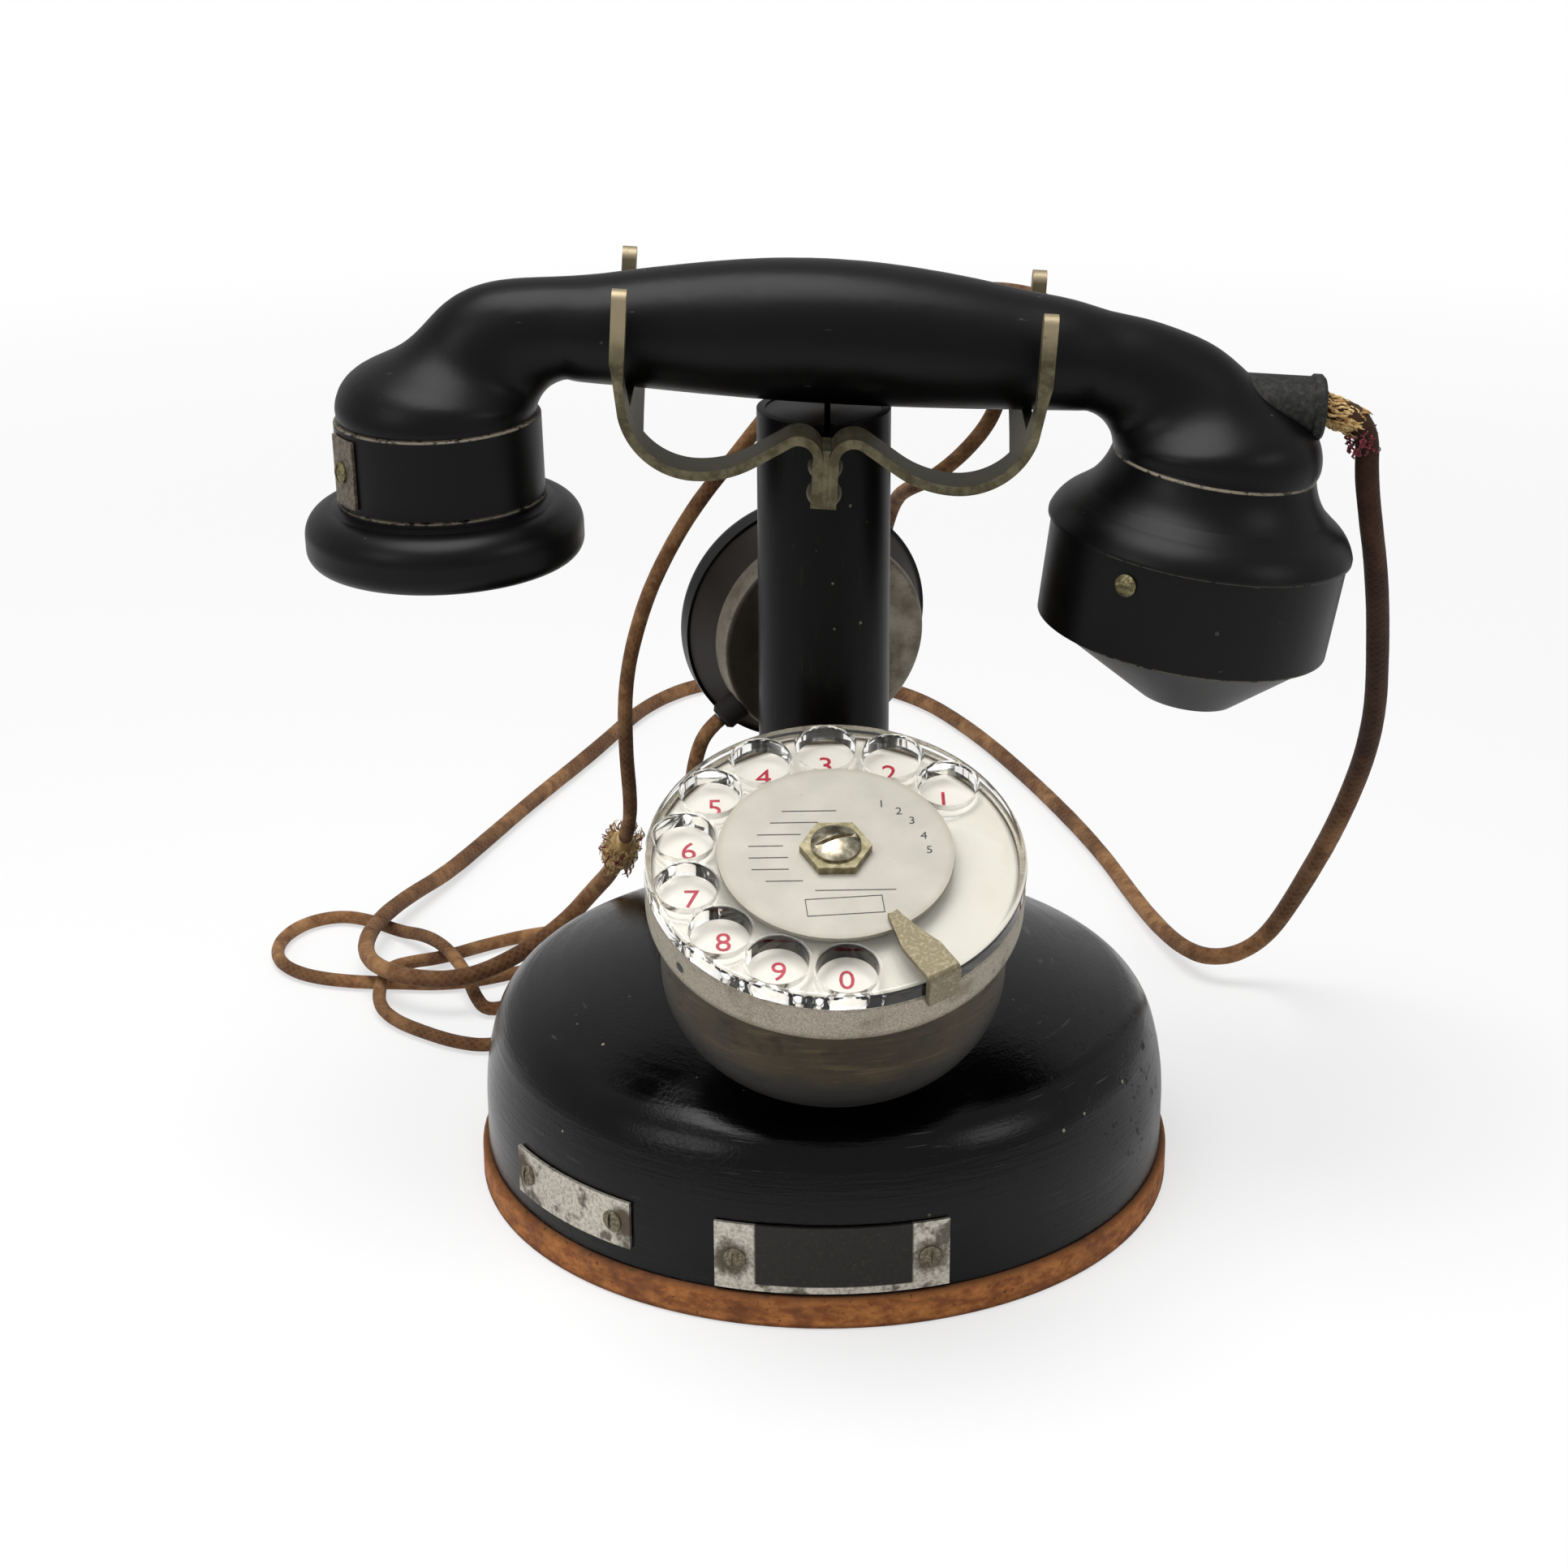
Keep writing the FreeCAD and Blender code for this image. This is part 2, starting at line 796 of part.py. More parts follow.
def wound_tube(points, radius, lead_in=None, lead_out=None):
    """A tube through points of a winding, smooth from one to the next."""
    tangents = []
    for index, point in enumerate(points):
        before = points[max(index - 1, 0)]
        after = points[min(index + 1, len(points) - 1)]
        tangents.append((after - before).normalize())
    if lead_in:
        tangents[0] = lead_in
    if lead_out:
        tangents[-1] = lead_out
    edges = []
    for index in range(len(points) - 1):
        edges += biarc(points[index], tangents[index], points[index + 1], tangents[index + 1])
    return swept(edges, radius)


def swept(edges, radius):
    """A round tube along a chain of tangent edges."""
    path = Part.Wire(edges)
    first = edges[0]
    ring = Part.makeCircle(radius, first.valueAt(first.FirstParameter),
                           first.tangentAt(first.FirstParameter))
    tube = path.makePipeShell([Part.Wire([ring])], True, False)
    ideal = math.pi * radius * radius * path.Length
    if abs(tube.Volume / ideal - 1) > 0.02:
        raise ValueError(f"a tube of {path.Length:.0f} mm came out at {tube.Volume / ideal:.3f}")
    return tube


def make_dial_case():
    """The cup, its collar on the dome, the nickel band and the number plate."""
    deep, turn = size.cup_deep, size.cup_turn
    wide = size.cup_rad - turn
    low_curve = (wide * wide + deep * deep - turn * turn) / (2 * (deep - turn))
    span = low_curve - turn
    centre = low_curve - deep

    def profile(inset):
        side = turn - inset
        return [
            (size.cup_rad - inset, -size.cup_side, side),
            (wide + side * wide / span, -size.cup_side - side * centre / span,
             low_curve - inset),
            (0, -size.cup_side - deep + inset)]

    outside = [tuple([point[0], point[1]] + [value for value in point[2:]])
               for point in profile(0)]
    inside = [tuple([point[0], point[1]] + [-value for value in point[2:]])
              for point in profile(size.cup_wall)]
    rim = size.lip_foot
    shell = turned("cup_shell", [(size.cup_rad - size.cup_wall, rim)]
                   + [(size.cup_rad, rim)] + outside
                   + backwards([(size.cup_rad - size.cup_wall, -size.cup_side, inside[0][2]),
                                inside[1], inside[2]]), DIAL)
    way = rod("cup_wire_way", size.wire_hole, 40, DIAL, place(z=-75))
    piece(cut("dial_cup", shell, way))

    cup_blank = turned("cup_blank", [(0, rim), (size.cup_rad, rim)] + outside, DIAL)
    dome_blank = turned("dome_blank", [(0, 10), (size.dome_rad, 10)] + outer_dome
                        + [(0, crown_above)])
    sleeve = turned("collar_sleeve", tube_outline(
        size.collar_bore, size.collar_rad, -70, -30), DIAL)
    piece(cut("dial_collar", sleeve, cup_blank, dome_blank))

    edge = size.band_edge
    rad = size.band_rad
    piece(turned("dial_band", [
        (size.cup_rad + size.dial_fit, 0), (rad - edge, 0, -edge), (rad, edge),
        (rad, size.band_high - edge, -edge), (rad - edge, size.band_high),
        (rad - size.band_rim, size.band_high), (rad - size.band_rim, size.lip_top),
        (size.lip_bore, size.lip_top), (size.lip_bore, rim),
        (size.cup_rad + size.dial_fit, rim)], DIAL))
    piece(turned("number_plate", tube_outline(
        size.number_plate_bore, rad - size.band_rim - size.dial_fit,
        size.lip_top, size.lip_top + size.number_plate_thick), DIAL))


def make_finger_wheel():
    foot = size.band_high + size.wheel_gap
    top = size.wheel_top
    edge = size.wheel_edge
    disc = turned("wheel_disc", [
        (size.shaft_rad + size.dial_fit, foot), (size.band_rad, foot),
        (size.band_rad, top - edge, -edge), (size.band_rad - edge, top),
        (size.shaft_rad + size.dial_fit, top)], DIAL)
    flare = size.hole_flare
    cutter = turned("finger_cutter", [
        (0, foot - 1), (size.hole_rad, foot - 1), (size.hole_rad, top - flare, flare),
        (size.hole_rad + flare, top), (size.hole_rad + flare, top + 1), (0, top + 1)])
    ways = [DIAL + " * " + place(yaw=size.hole_first + size.hole_pitch * step) + " * "
            + place(x=size.hole_circle) for step in range(SIZES["hole_count"])]
    holes = group("finger_holes", *copies(cutter, ways))
    piece(cut("finger_wheel", disc, holes))

    bore = size.centre_shank + size.screw_gap
    label_top = top + size.label_thick
    piece(turned("label_disc", tube_outline(bore, size.label_rad, top, label_top), DIAL))
    washer_top = label_top + size.washer_thick
    hexagon = bind(doc.addObject("Part::Prism", "washer_hexagon"),
                   Circumradius=size.washer_half / cosine(30), Height=size.washer_thick)
    put(hexagon, DIAL, place(z=label_top))
    washer_bore = rod("washer_bore", bore, 20, DIAL, place(z=label_top - 5))
    piece(cut("hex_washer", hexagon, washer_bore))
    piece(screw("dial_centre_screw", size.centre_head, size.centre_rise, size.centre_shank,
                size.centre_long, size.centre_slot, DIAL, place(z=washer_top, yaw=20)))

    shoulder = size.number_plate_bore - 0.8
    shaft = size.shaft_rad
    drill = washer_top - size.centre_long - size.screw_gap
    piece(turned("dial_shaft", [
        (0, size.shaft_foot), (shaft, size.shaft_foot), (shaft, size.lip_top + 0.5),
        (shoulder, size.lip_top + 0.5), (shoulder, foot), (shaft, foot), (shaft, top),
        (bore, top), (bore, drill), (0, drill)], DIAL))


def make_finger_stop():
    out = size.band_rad + size.dial_fit
    spoke = place(yaw=-size.stop_angle)
    thick = size.stop_blade_thick
    top = size.stop_blade + thick
    bend = size.stop_thick
    side = padded("stop_side", "XZ_Plane", [
        (out, size.stop_foot), (out + size.stop_thick, size.stop_foot),
        (out + size.stop_thick, top - bend, -bend), (out + size.stop_thick - bend, top),
        (size.stop_reach, top), (size.stop_reach, size.stop_blade), (out, size.stop_blade)],
        size.stop_wide + 2, DIAL, spoke, place(y=size.stop_wide / 2 + 1))
    half = size.stop_wide / 2
    tip = size.stop_tip / 2
    plan = padded("stop_plan", "XY_Plane", [
        (size.stop_reach, -tip), (size.stop_reach + 10, -half), (out + 3, -half),
        (out + 3, half), (size.stop_reach + 13, half, 60), (size.stop_reach, tip, 3)],
        30, DIAL, spoke)
    piece(common("finger_stop", side, plan))


def gear_shape(teeth, foot, thick, bore):
    """A spur gear with straight-flanked teeth, thinned by its share of the backlash."""
    module = size.gear_module.value
    pitch = module * teeth / 2
    tip, base = pitch + 0.85 * module, pitch - 1.2 * module
    half_pitch = (math.pi * module / 2 - size.gear_backlash.value) / 2 / pitch
    slant = math.tan(math.radians(20))
    half_tip = half_pitch - 0.85 * module * slant / pitch
    half_base = half_pitch + 1.1 * module * slant / pitch
    points = []
    for tooth in range(teeth):
        middle = 2 * math.pi * tooth / teeth
        for radius, angle in ((base, middle - half_base), (tip, middle - half_tip),
                              (tip, middle + half_tip), (base, middle + half_base)):
            points.append(Vector(radius * math.cos(angle), radius * math.sin(angle), foot))
    rim = Part.Face(Part.makePolygon(points + points[:1]))
    wheel = rim.extrude(Vector(0, 0, thick))
    return wheel.cut(Part.makeCylinder(bore, thick + 2, Vector(0, 0, foot - 1)))


def make_dial_works():
    works_foot = size.works_top - size.works_thick
    inner = size.cup_rad - size.cup_wall - size.dial_fit
    fit = size.running_fit
    teeth, small = SIZES["gear_teeth"], SIZES["pinion_teeth"]
    centres = size.gear_module * (size.gear_teeth + size.pinion_teeth) / 2
    governor = place(yaw=size.governor_angle) + " * " + place(x=centres)
    pivot = size.governor_shaft

    plate = turned("works_disc", tube_outline(
        size.shaft_rad + fit, inner, works_foot, size.works_top), DIAL)
    pivot_hole = rod("works_pivot_hole", pivot + fit, 20, DIAL, governor, place(z=-5))
    piece(cut("mechanism_plate", plate, pivot_hole))

    bridge_foot = size.bridge_top - size.works_thick
    bridge = turned("bridge_disc", tube_outline(
        size.shaft_rad + fit, size.bridge_rad, bridge_foot, size.bridge_top), DIAL)
    bridge_hole = rod("bridge_pivot_hole", pivot + fit, 20, DIAL, governor,
                      place(z=bridge_foot - 5))
    pillars = [rod("pillar", size.pillar_rad, works_foot - bridge_foot, DIAL,
                   place(yaw=spoke), place(x=size.pillar_circle, z=bridge_foot))
               for spoke in (75, 150, 300)]
    piece(cut("bridge_plate", joined("bridge_blank", bridge, *pillars), bridge_hole))

    gear_foot = (size.gear_top - size.gear_thick).value
    piece(custom("main_gear", gear_shape(
        teeth, gear_foot, size.gear_thick.value, size.shaft_rad.value), DIAL))
    pinion = gear_shape(small, gear_foot, size.gear_thick.value, pivot.value)
    pinion.rotate(Vector(), Vector(0, 0, 1), pinion_phase(teeth, small))
    wheel = custom("governor_wheel", pinion, DIAL, governor)
    spindle = turned("governor_spindle_rod", disc_outline(
        pivot, bridge_foot, size.works_top), DIAL, governor)
    low = size.gear_top - size.gear_thick
    flywheel = turned("governor_disc", disc_outline(
        size.governor_rad, low - 7, low - 3), DIAL, governor)
    piece(joined("governor", spindle, wheel, flywheel))

    cam = turned("cam_disc", tube_outline(
        size.shaft_rad, size.cam_rad, size.cam_top - 1.4, size.cam_top), DIAL)
    notches = [rod("cam_notch", size.cam_tooth, 10, DIAL, place(yaw=100 + 24 * step),
                   place(x=size.cam_rad + size.cam_tooth * 0.4, z=size.cam_top - 6))
               for step in range(SIZES["hole_count"])]
    piece(cut("pulse_cam", cam, *notches))
    finger = size.cam_rad + size.wheel_gap
    cam_foot = size.cam_top - 2
    spring = block("pulse_leaf", size.contact_reach, 1, 2, DIAL, place(yaw=10),
                   place(x=finger, y=-0.5, z=cam_foot))
    post = block("pulse_post", 6, 6, works_foot - cam_foot, DIAL, place(yaw=10),
                 place(x=finger + size.contact_reach, y=-3, z=cam_foot))
    piece(joined("pulse_contacts", spring, post))


def pinion_phase(teeth, small):
    """The turn that sets a pinion's gap on the main gear's nearest tooth."""
    spoke = SIZES["governor_angle"]
    step = 360 / teeth
    tooth_off = spoke - step * round(spoke / step)
    toward = 180 - (360 / small) / 2
    return toward + tooth_off * teeth / small


def strip_outline():
    """One side of the fork from the front: the tang, the hump, the sag and the prong."""
    thick = size.strip_thick
    leg = size.strip_leg + thick
    slope, rise = size.strip_slope, size.sag_turn
    hump = (leg + size.hump_curve, -size.hump_top - size.hump_curve)

    def edge(inset, out):
        curve = size.hump_curve + inset
        over = (hump[0] + curve * sine(slope), hump[1] + curve * cosine(slope))
        low = (over[0] + size.strip_run * cosine(slope), over[1] - size.strip_run * sine(slope))
        sag = size.sag_curve - inset
        bottom = (low[0] + sag * sine(slope), low[1] - sag * (1 - cosine(slope)))
        lift = size.sag_rise - inset
        top = (bottom[0] + lift * sine(rise), bottom[1] + lift * (1 - cosine(rise)))
        upright = (out, top[1] + (out - top[0]) * sine(rise) / cosine(rise))
        return [(hump[0] - curve, hump[1], curve), over, (low[0], low[1], -sag),
                (bottom[0], bottom[1], -lift), top, upright, (out, size.prong_top)]

    lower, upper = edge(0, size.prong_x + size.prong_thick), edge(thick, size.prong_x)
    flipped = [point[:2] + (-point[2],) if len(point) == 3 else point for point in upper]
    return ([(size.strip_leg, -size.tang_foot), (leg, -size.tang_foot)] + lower
            + backwards(flipped))


def make_fork():
    out = size.prong_half + size.prong_wide
    sheet = padded("fork_sheet", "XZ_Plane", strip_outline(), out + size.strip_front,
                   place(y=out))
    strap = block("fork_strap", size.prong_x - size.web_reach, size.strip_wide, 60,
                  place(y=-size.strip_front, z=-60))
    tip = size.prong_wide / 2
    shoulder = size.prong_top - tip
    brow = size.strip_wide - size.strip_front
    plan = padded("fork_plan", "YZ_Plane", [
        (-size.strip_front, -60), (brow, -60), (brow, -size.web_foot), (out, -size.web_back),
        (out, shoulder, -tip), (out - tip, size.prong_top, -tip), (size.prong_half, shoulder),
        (size.prong_half, -size.web_top), (-size.prong_half, -size.web_top),
        (-size.prong_half, shoulder, -tip), (tip - out, size.prong_top, -tip),
        (-out, shoulder), (-out, size.web_slope), (-size.strip_front, -size.web_top)],
        40, place(x=size.prong_x - size.web_reach))
    side_blank = common("fork_blank", sheet, joined("fork_ways", strap, plan))
    ways = [place(y=size.rivet_inset - size.strip_front, z=-size.tang_foot + size.rivet_inset,
                  pitch=90),
            place(y=size.strip_wide - size.strip_front - size.rivet_inset,
                  z=-size.tang_foot + 2.6 * size.rivet_inset, pitch=90)]
    holes = [rod("rivet_hole", size.rivet_rad, 20, way, place(z=-10)) for way in ways]
    side = cut("fork_side", side_blank, *holes)
    mirror = doc.addObject("Part::Mirroring", "fork_other_side")
    mirror.Source = side
    mirror.Normal = Vector(1, 0, 0)
    piece(group("fork_right", *copies(side, [FORK])))
    piece(group("fork_left", *copies(mirror, [FORK])))

    half = size.blade_thick / 2
    hump = -size.hump_top - size.hump_curve
    wedge = padded("blade_wedge", "XZ_Plane", [
        (-half, -size.tang_foot), (half, -size.tang_foot), (half, hump + 1.2),
        (half * 1.6, -size.hump_top - 0.8), (-half * 1.6, -size.hump_top - 0.8),
        (-half, hump + 1.2)],
        size.strip_wide, place(y=size.strip_wide - size.strip_front))
    blade = block("blade_bar", size.blade_thick, size.strip_front + size.blade_reach,
                  size.blade_high, place(x=-half, y=-size.strip_front, z=-size.tang_foot))
    piece(put(cut("fork_blade", joined("blade_blank", wedge, blade), *holes), FORK))

    half = size.strip_leg + size.strip_thick
    head, rise = size.rivet_head, size.rivet_rise
    curve = (head * head + rise * rise) / (2 * rise)
    rivet = turned("fork_rivet", [
        (0, -half - rise, -curve), (head, -half), (size.rivet_rad, -half),
        (size.rivet_rad, half), (head, half, -curve), (0, half + rise)], FORK, ways[0])
    piece(group("fork_rivets", rivet, *copies(rivet, [FORK + " * " + ways[1]])))


def grip_section(x, z, lean, high, wide):
    """Spots round a section of the grip, square to its way, which leans by an angle."""
    across = Vector(math.sin(math.radians(lean)), 0, math.cos(math.radians(lean)))
    spots = []
    for step in range(12):
        turn = 2 * math.pi * step / 12
        spots.append(Vector(x, 0, z) + across * (high * math.cos(turn))
                     + Vector(0, wide * math.sin(turn), 0))
    return spots + spots[:1]


# each elbow of the handle, by its turn about the inner corner: the way out and half the width
RECEIVER_ELBOW = [(10, 31.7, 11.2), (24, 33.3, 11.2), (38, 36.2, 11.2), (52, 38.6, 11.7),
                  (64, 40, 13.2), (73, 43.2, 16.8), (79.5, 48.8, 20.6), (86, 53.9, 22.6)]
THROAT_ELBOW = [(10, 31.5, 11.2), (24, 32.6, 11.2), (38, 35.1, 11.2), (52, 39, 11.7),
                (64, 42.5, 13.7), (73, 46.8, 17.4), (79.5, 52.2, 21.5), (86, 56.4, 23.5)]


def elbow_sections(side, corner_x, seat, tip, radius, rows):
    """Sections of one elbow, from the grip down to the round seam."""
    slope = math.tan(math.radians(tip))
    corner = Vector(side * corner_x, 0, -seat[1] + (seat[0] - corner_x) * slope)
    inner = size.elbow_inner.value
    last = (seat[0] - corner_x) / math.cos(math.radians(tip)) + radius
    sections = []
    for turn, out, wide in rows + [(90 + tip, last, radius)]:
        reach = inner + (last - 2 * radius - inner) * (turn / (90 + tip)) ** 3
        middle = (out + reach) / 2
        angle = math.radians(turn)
        sections.append(grip_section(corner.x + side * middle * math.sin(angle),
                                     corner.z + middle * math.cos(angle),
                                     side * turn, (out - reach) / 2, wide))
    return sections


def grip_shape():
    """The grip and its two elbows as one smooth skin through their sections."""
    neck, level = size.grip_neck.value, size.grip_height.value
    halves = []
    for side, reach, corner in (
            (-1, size.grip_left.value, size.receiver_elbow.value),
            (1, size.grip_right.value, size.throat_elbow.value)):
        half = []
        for step in range(1 if side < 0 else 0, 6):
            along = corner * step / 5
            swell = math.cos(math.pi / 2 * along / reach) ** 1.4
            half.append(grip_section(side * along, level + size.grip_rise.value * swell, 0,
                                     neck + size.grip_belly.value * swell,
                                     neck + size.grip_swell.value * swell))
        halves.append(half)
    left = halves[0] + elbow_sections(
        -1, size.receiver_elbow.value, (size.receiver_x.value, size.receiver_z.value),
        size.receiver_tip.value, size.receiver_rad.value - size.neck_step.value,
        RECEIVER_ELBOW)
    right = halves[1] + elbow_sections(
        1, size.throat_elbow.value, (size.transmitter_x.value, size.transmitter_z.value),
        size.transmitter_tip.value, size.throat_rad.value, THROAT_ELBOW)
    surface = Part.BSplineSurface()
    surface.interpolate(left[::-1] + right)
    skin = surface.toShape()
    faces = [skin]
    for section in (left[-1], right[-1]):
        middle = sum(section[1:], Vector()) * (1 / (len(section) - 1))
        rim = [edge for edge in skin.Edges if edge.CenterOfMass.distanceToPoint(middle) < 2]
        faces.append(Part.Face(Part.Wire(rim)))
    shell = Part.makeShell(faces)
    shell.sewShape()
    return Part.makeSolid(shell)


def make_handset():
    handle = piece(custom("handset_handle", grip_shape(), FORK))

    ferrule_foot = size.ferrule_end - size.ferrule_long
    lip = size.ferrule_long - size.ferrule_lip_long
    ferrule = turned("ferrule_blank", [
        (0, 0), (size.ferrule_rad, 0), (size.ferrule_rad, lip), (size.ferrule_lip, lip + 0.6),
        (size.ferrule_lip, size.ferrule_long - 0.8),
        (size.ferrule_lip - 0.8, size.ferrule_long), (0, size.ferrule_long)],
        FORK, place(x=ferrule_foot, z=size.ferrule_height, pitch=90))
    piece(cut("cord_ferrule", ferrule, handle))

    radius, long = size.receiver_rad, size.receiver_long
    inner = radius - size.receiver_wall
    sleeve = turned("receiver_sleeve", [
        (inner, -long), (radius - 0.3, -long), (radius, -long + 0.4), (radius, -0.4),
        (radius - 0.3, 0), (inner, 0)], RECEIVER)
    ear = size.ear_rad
    bottom = -long - size.ear_high
    edge = size.ear_round
    crest = edge * 1.6
    collar = radius + 0.3
    seat = -long - size.ear_seat
    piece(turned("ear_cap", [
        (inner, -long), (inner, seat), (inner - 2, seat), (inner - 2, seat - 1.5),
        (size.ear_hole, seat - 1.5), (size.ear_hole, bottom + size.ear_dish, 70),
        (ear - edge, bottom, -edge), (ear, bottom + edge), (ear, -long - 1.8 - crest, -crest),
        (ear - crest, -long - 1.8), (collar, -long - 1.2), (collar, -long)], RECEIVER))
    piece(turned("receiver_diaphragm", disc_outline(
        inner - size.screw_gap, seat, seat + size.diaphragm_thick), RECEIVER))
    pole = seat + size.diaphragm_thick + 0.4
    piece(turned("receiver_magnet", [
        (0, pole), (size.magnet_rad, pole), (size.magnet_rad, -5),
        (inner - size.screw_gap, -5), (inner - size.screw_gap, -2), (0, -2)], RECEIVER))

    plate_in = radius + size.screw_gap
    where = place(yaw=-size.lock_from, z=-size.lock_foot)
    sector = bind(rod("lock_sector", plate_in + size.badge_thick, size.lock_high,
                      RECEIVER, where), Angle=size.lock_span)
    core = rod("lock_core", plate_in, size.lock_high + 4, RECEIVER,
               place(z=-size.lock_foot - 2))
    lock_screw = (RECEIVER + " * " + place(yaw=size.lock_span / 2 - size.lock_from) + " * "
                  + place(x=plate_in + size.badge_thick + size.screw_gap,
                          z=size.lock_high / 2 - size.lock_foot, pitch=90))
    lock_hole = small_hole("lock_hole", lock_screw)
    piece(cut("lock_plate", sector, core, lock_hole))
    piece(cut("receiver_band", sleeve, lock_hole))
    return lock_screw


def make_transmitter(lock_screw):
    deep, wall = size.bell_deep, size.bell_wall
    throat, bell = size.throat_rad, size.bell_rad
    piece(turned("transmitter_bell", [
        (throat - wall, 0), (throat, 0, -18), (throat + 4.4, 9.2 - deep),
        (bell - 4.6, 6.7 - deep, 11), (bell, 0.8 - deep), (bell, -deep), (bell - wall, -deep),
        (bell - wall, 0.6 - deep), (bell - wall - 4.4, 3.8 - deep), (throat + 1, 7 - deep),
        (throat - wall, 12 - deep)], TRANSMITTER))
    band, foot = size.mouth_band_rad, size.mouth_band_foot
    end = deep + size.mouth_band_long
    band_screw = (TRANSMITTER + " * " + place(yaw=-size.band_screw_angle) + " * "
                  + place(x=band + size.screw_gap, z=-deep - size.screw_head - 2.9, pitch=90)
                  + " * " + place(yaw=90))
    blank = turned("band_shell", [
        (band - wall, -end), (foot, -end), (band, -deep), (band - wall, -deep)], TRANSMITTER)
    piece(cut("transmitter_band", blank, small_hole("band_screw_hole", band_screw)))
    first = small_screw("handset_screw", lock_screw)
    piece(group("handset_screws", first, *copies(first, [band_screw])))

    def cone(radius, mouth, top, drop):
        start = Part.Wire([Part.makeCircle(radius, Vector(0, 0, top))])
        stop = Part.Wire([Part.makeCircle(mouth, Vector(size.cone_shift.value, 0, -drop))])
        return Part.makeLoft([start, stop], True, True)

    drop = end.value + size.cone_deep.value
    wall_thick = size.cone_wall.value
    rim = foot.value - size.cone_inset.value
    outside = cone(rim, size.cone_mouth.value, -end.value, drop)
    inside = cone(rim - wall_thick, size.cone_mouth.value - wall_thick,
                  -end.value + 0.01, drop + 0.01)
    piece(custom("mouthpiece", outside.cut(inside), TRANSMITTER))
    piece(turned("transmitter_capsule", [
        (0, -size.capsule_foot), (size.capsule_rad, -size.capsule_foot),
        (band - wall - size.column_clear * 2, -size.capsule_foot),
        (band - wall - size.column_clear * 2, 2 - size.capsule_foot),
        (size.capsule_rad, 2 - size.capsule_foot),
        (size.capsule_rad, size.capsule_high - size.capsule_foot),
        (0, size.capsule_high - size.capsule_foot)], TRANSMITTER))


def make_aux_receiver():
    case, wall, deep = size.aux_case_rad, size.aux_wall, size.aux_case_deep
    piece(turned("aux_case", [
        (0, 0), (case - wall, 0, -wall), (case, wall), (case, deep), (case - wall, deep),
        (case - wall, wall), (0, wall)], AUX))
    cap, at, high = size.aux_cap_rad, size.aux_cap_at, size.aux_cap_high
    inner = case - wall - size.screw_gap
    piece(turned("aux_housing", [
        (inner - 3, deep - 3), (inner, deep - 3), (inner, deep), (case, deep),
        (cap - 0.8, at), (cap - 5, at)], AUX))
    edge = size.aux_cap_round
    piece(turned("aux_ear_cap", [
        (cap - 5, at), (cap, at), (cap, at + high - edge, -edge), (cap - edge, at + high, -80),
        (size.aux_hole, at + high - 3), (size.aux_hole, at + 3), (cap - 5, at + 3)], AUX))

    gland = (AUX + " * " + place(yaw=size.aux_gland_angle) + " * "
             + place(x=case, z=deep / 2, pitch=90))
    bush = turned("aux_gland_blank", [
        (0, -2), (size.aux_gland_rad, -2), (size.aux_gland_rad, size.aux_gland_long - 1),
        (size.aux_gland_rad - 1, size.aux_gland_long), (0, size.aux_gland_long)], gland)
    skin = rod("aux_skin", case, 40, AUX, place(z=-20))
    piece(cut("aux_gland", bush, skin))

    ring = doc.addObject("Part::Torus", "bail_ring")
    bind(ring, Radius1=size.bail_rad, Radius2=size.bail_wire)
    up = place(x=-size.bail_side, y=-case - size.bail_rise, z=deep * 0.3)
    put(ring, AUX, up)
    lug = block("bail_lug", 4, 6, 2.4, AUX,
                place(x=-size.bail_side - 2, y=-case - 2.6, z=deep * 0.3 - 1.2))
    piece(cut("aux_bail", joined("bail_blank", ring, lug), skin))

    wire = size.hook_wire.value
    hook_x = size.aux_x - size.bail_side * cosine(size.aux_turn)
    start = Vector(hook_x.value, size.column_rad.value - 1.5, size.hook_z.value)
    bend = size.hook_bend.value
    corner = Vector(start.x, size.hook_y.value + 2, start.z)
    top = corner + Vector(0, bend, bend)
    middle = corner + Vector(0, bend * math.sin(math.pi / 4), bend * (1 - math.cos(math.pi / 4)))
    path = [Part.makeLine(start, corner), Part.Arc(corner, middle, top).toShape(),
            Part.makeLine(top, top + Vector(0, 0, size.hook_tip.value - bend))]
    arm = custom("hook_arm", swept(path, wire))
    boss = rod("hook_boss", wire + 3, 4, place(
        x=hook_x, y=size.column_rad - 1.5, z=size.hook_z, roll=-90))
    column = rod("hook_column", size.column_rad, 200)
    piece(cut("aux_hook", joined("hook_blank", arm, boss), column))


def make_base_works():
    floor = size.plate_thick
    coil = size.coil_rad
    bobbin = turned("induction_coil", [
        (0, 0), (coil, 0), (coil, size.coil_cheek), (coil - 1.5, size.coil_cheek),
        (coil - 1.5, size.coil_long - size.coil_cheek),
        (coil, size.coil_long - size.coil_cheek), (coil, size.coil_long), (0, size.coil_long)],
        place(x=-size.works_side, y=size.coil_long / 2, z=floor + coil, roll=90))
    piece(bobbin)
    terminal = block("terminal_bar", size.block_long, size.block_wide, size.block_high,
                     place(x=-size.block_long / 2, y=size.block_y, z=floor))
    posts = [rod("terminal_post", 1.8, 3, place(
        x=size.block_long * (step - 1.5) / 5, y=size.block_y + size.block_wide / 2,
        z=floor + size.block_high)) for step in range(4)]
    piece(joined("terminal_block", terminal, *posts))

    top = size.rod_foot - 0.3
    stack = block("pile_block", 12, 16, top - floor + 3, place(x=size.pile_x, y=-8, z=floor))
    leaves = [block("pile_leaf", size.pile_x + 6, 6, size.leaf_thick, place(
        x=-5, y=-3, z=top - size.leaf_thick - (size.leaf_thick + size.leaf_gap) * step))
        for step in range(3)]
    piece(joined("switch_contacts", stack, *leaves))


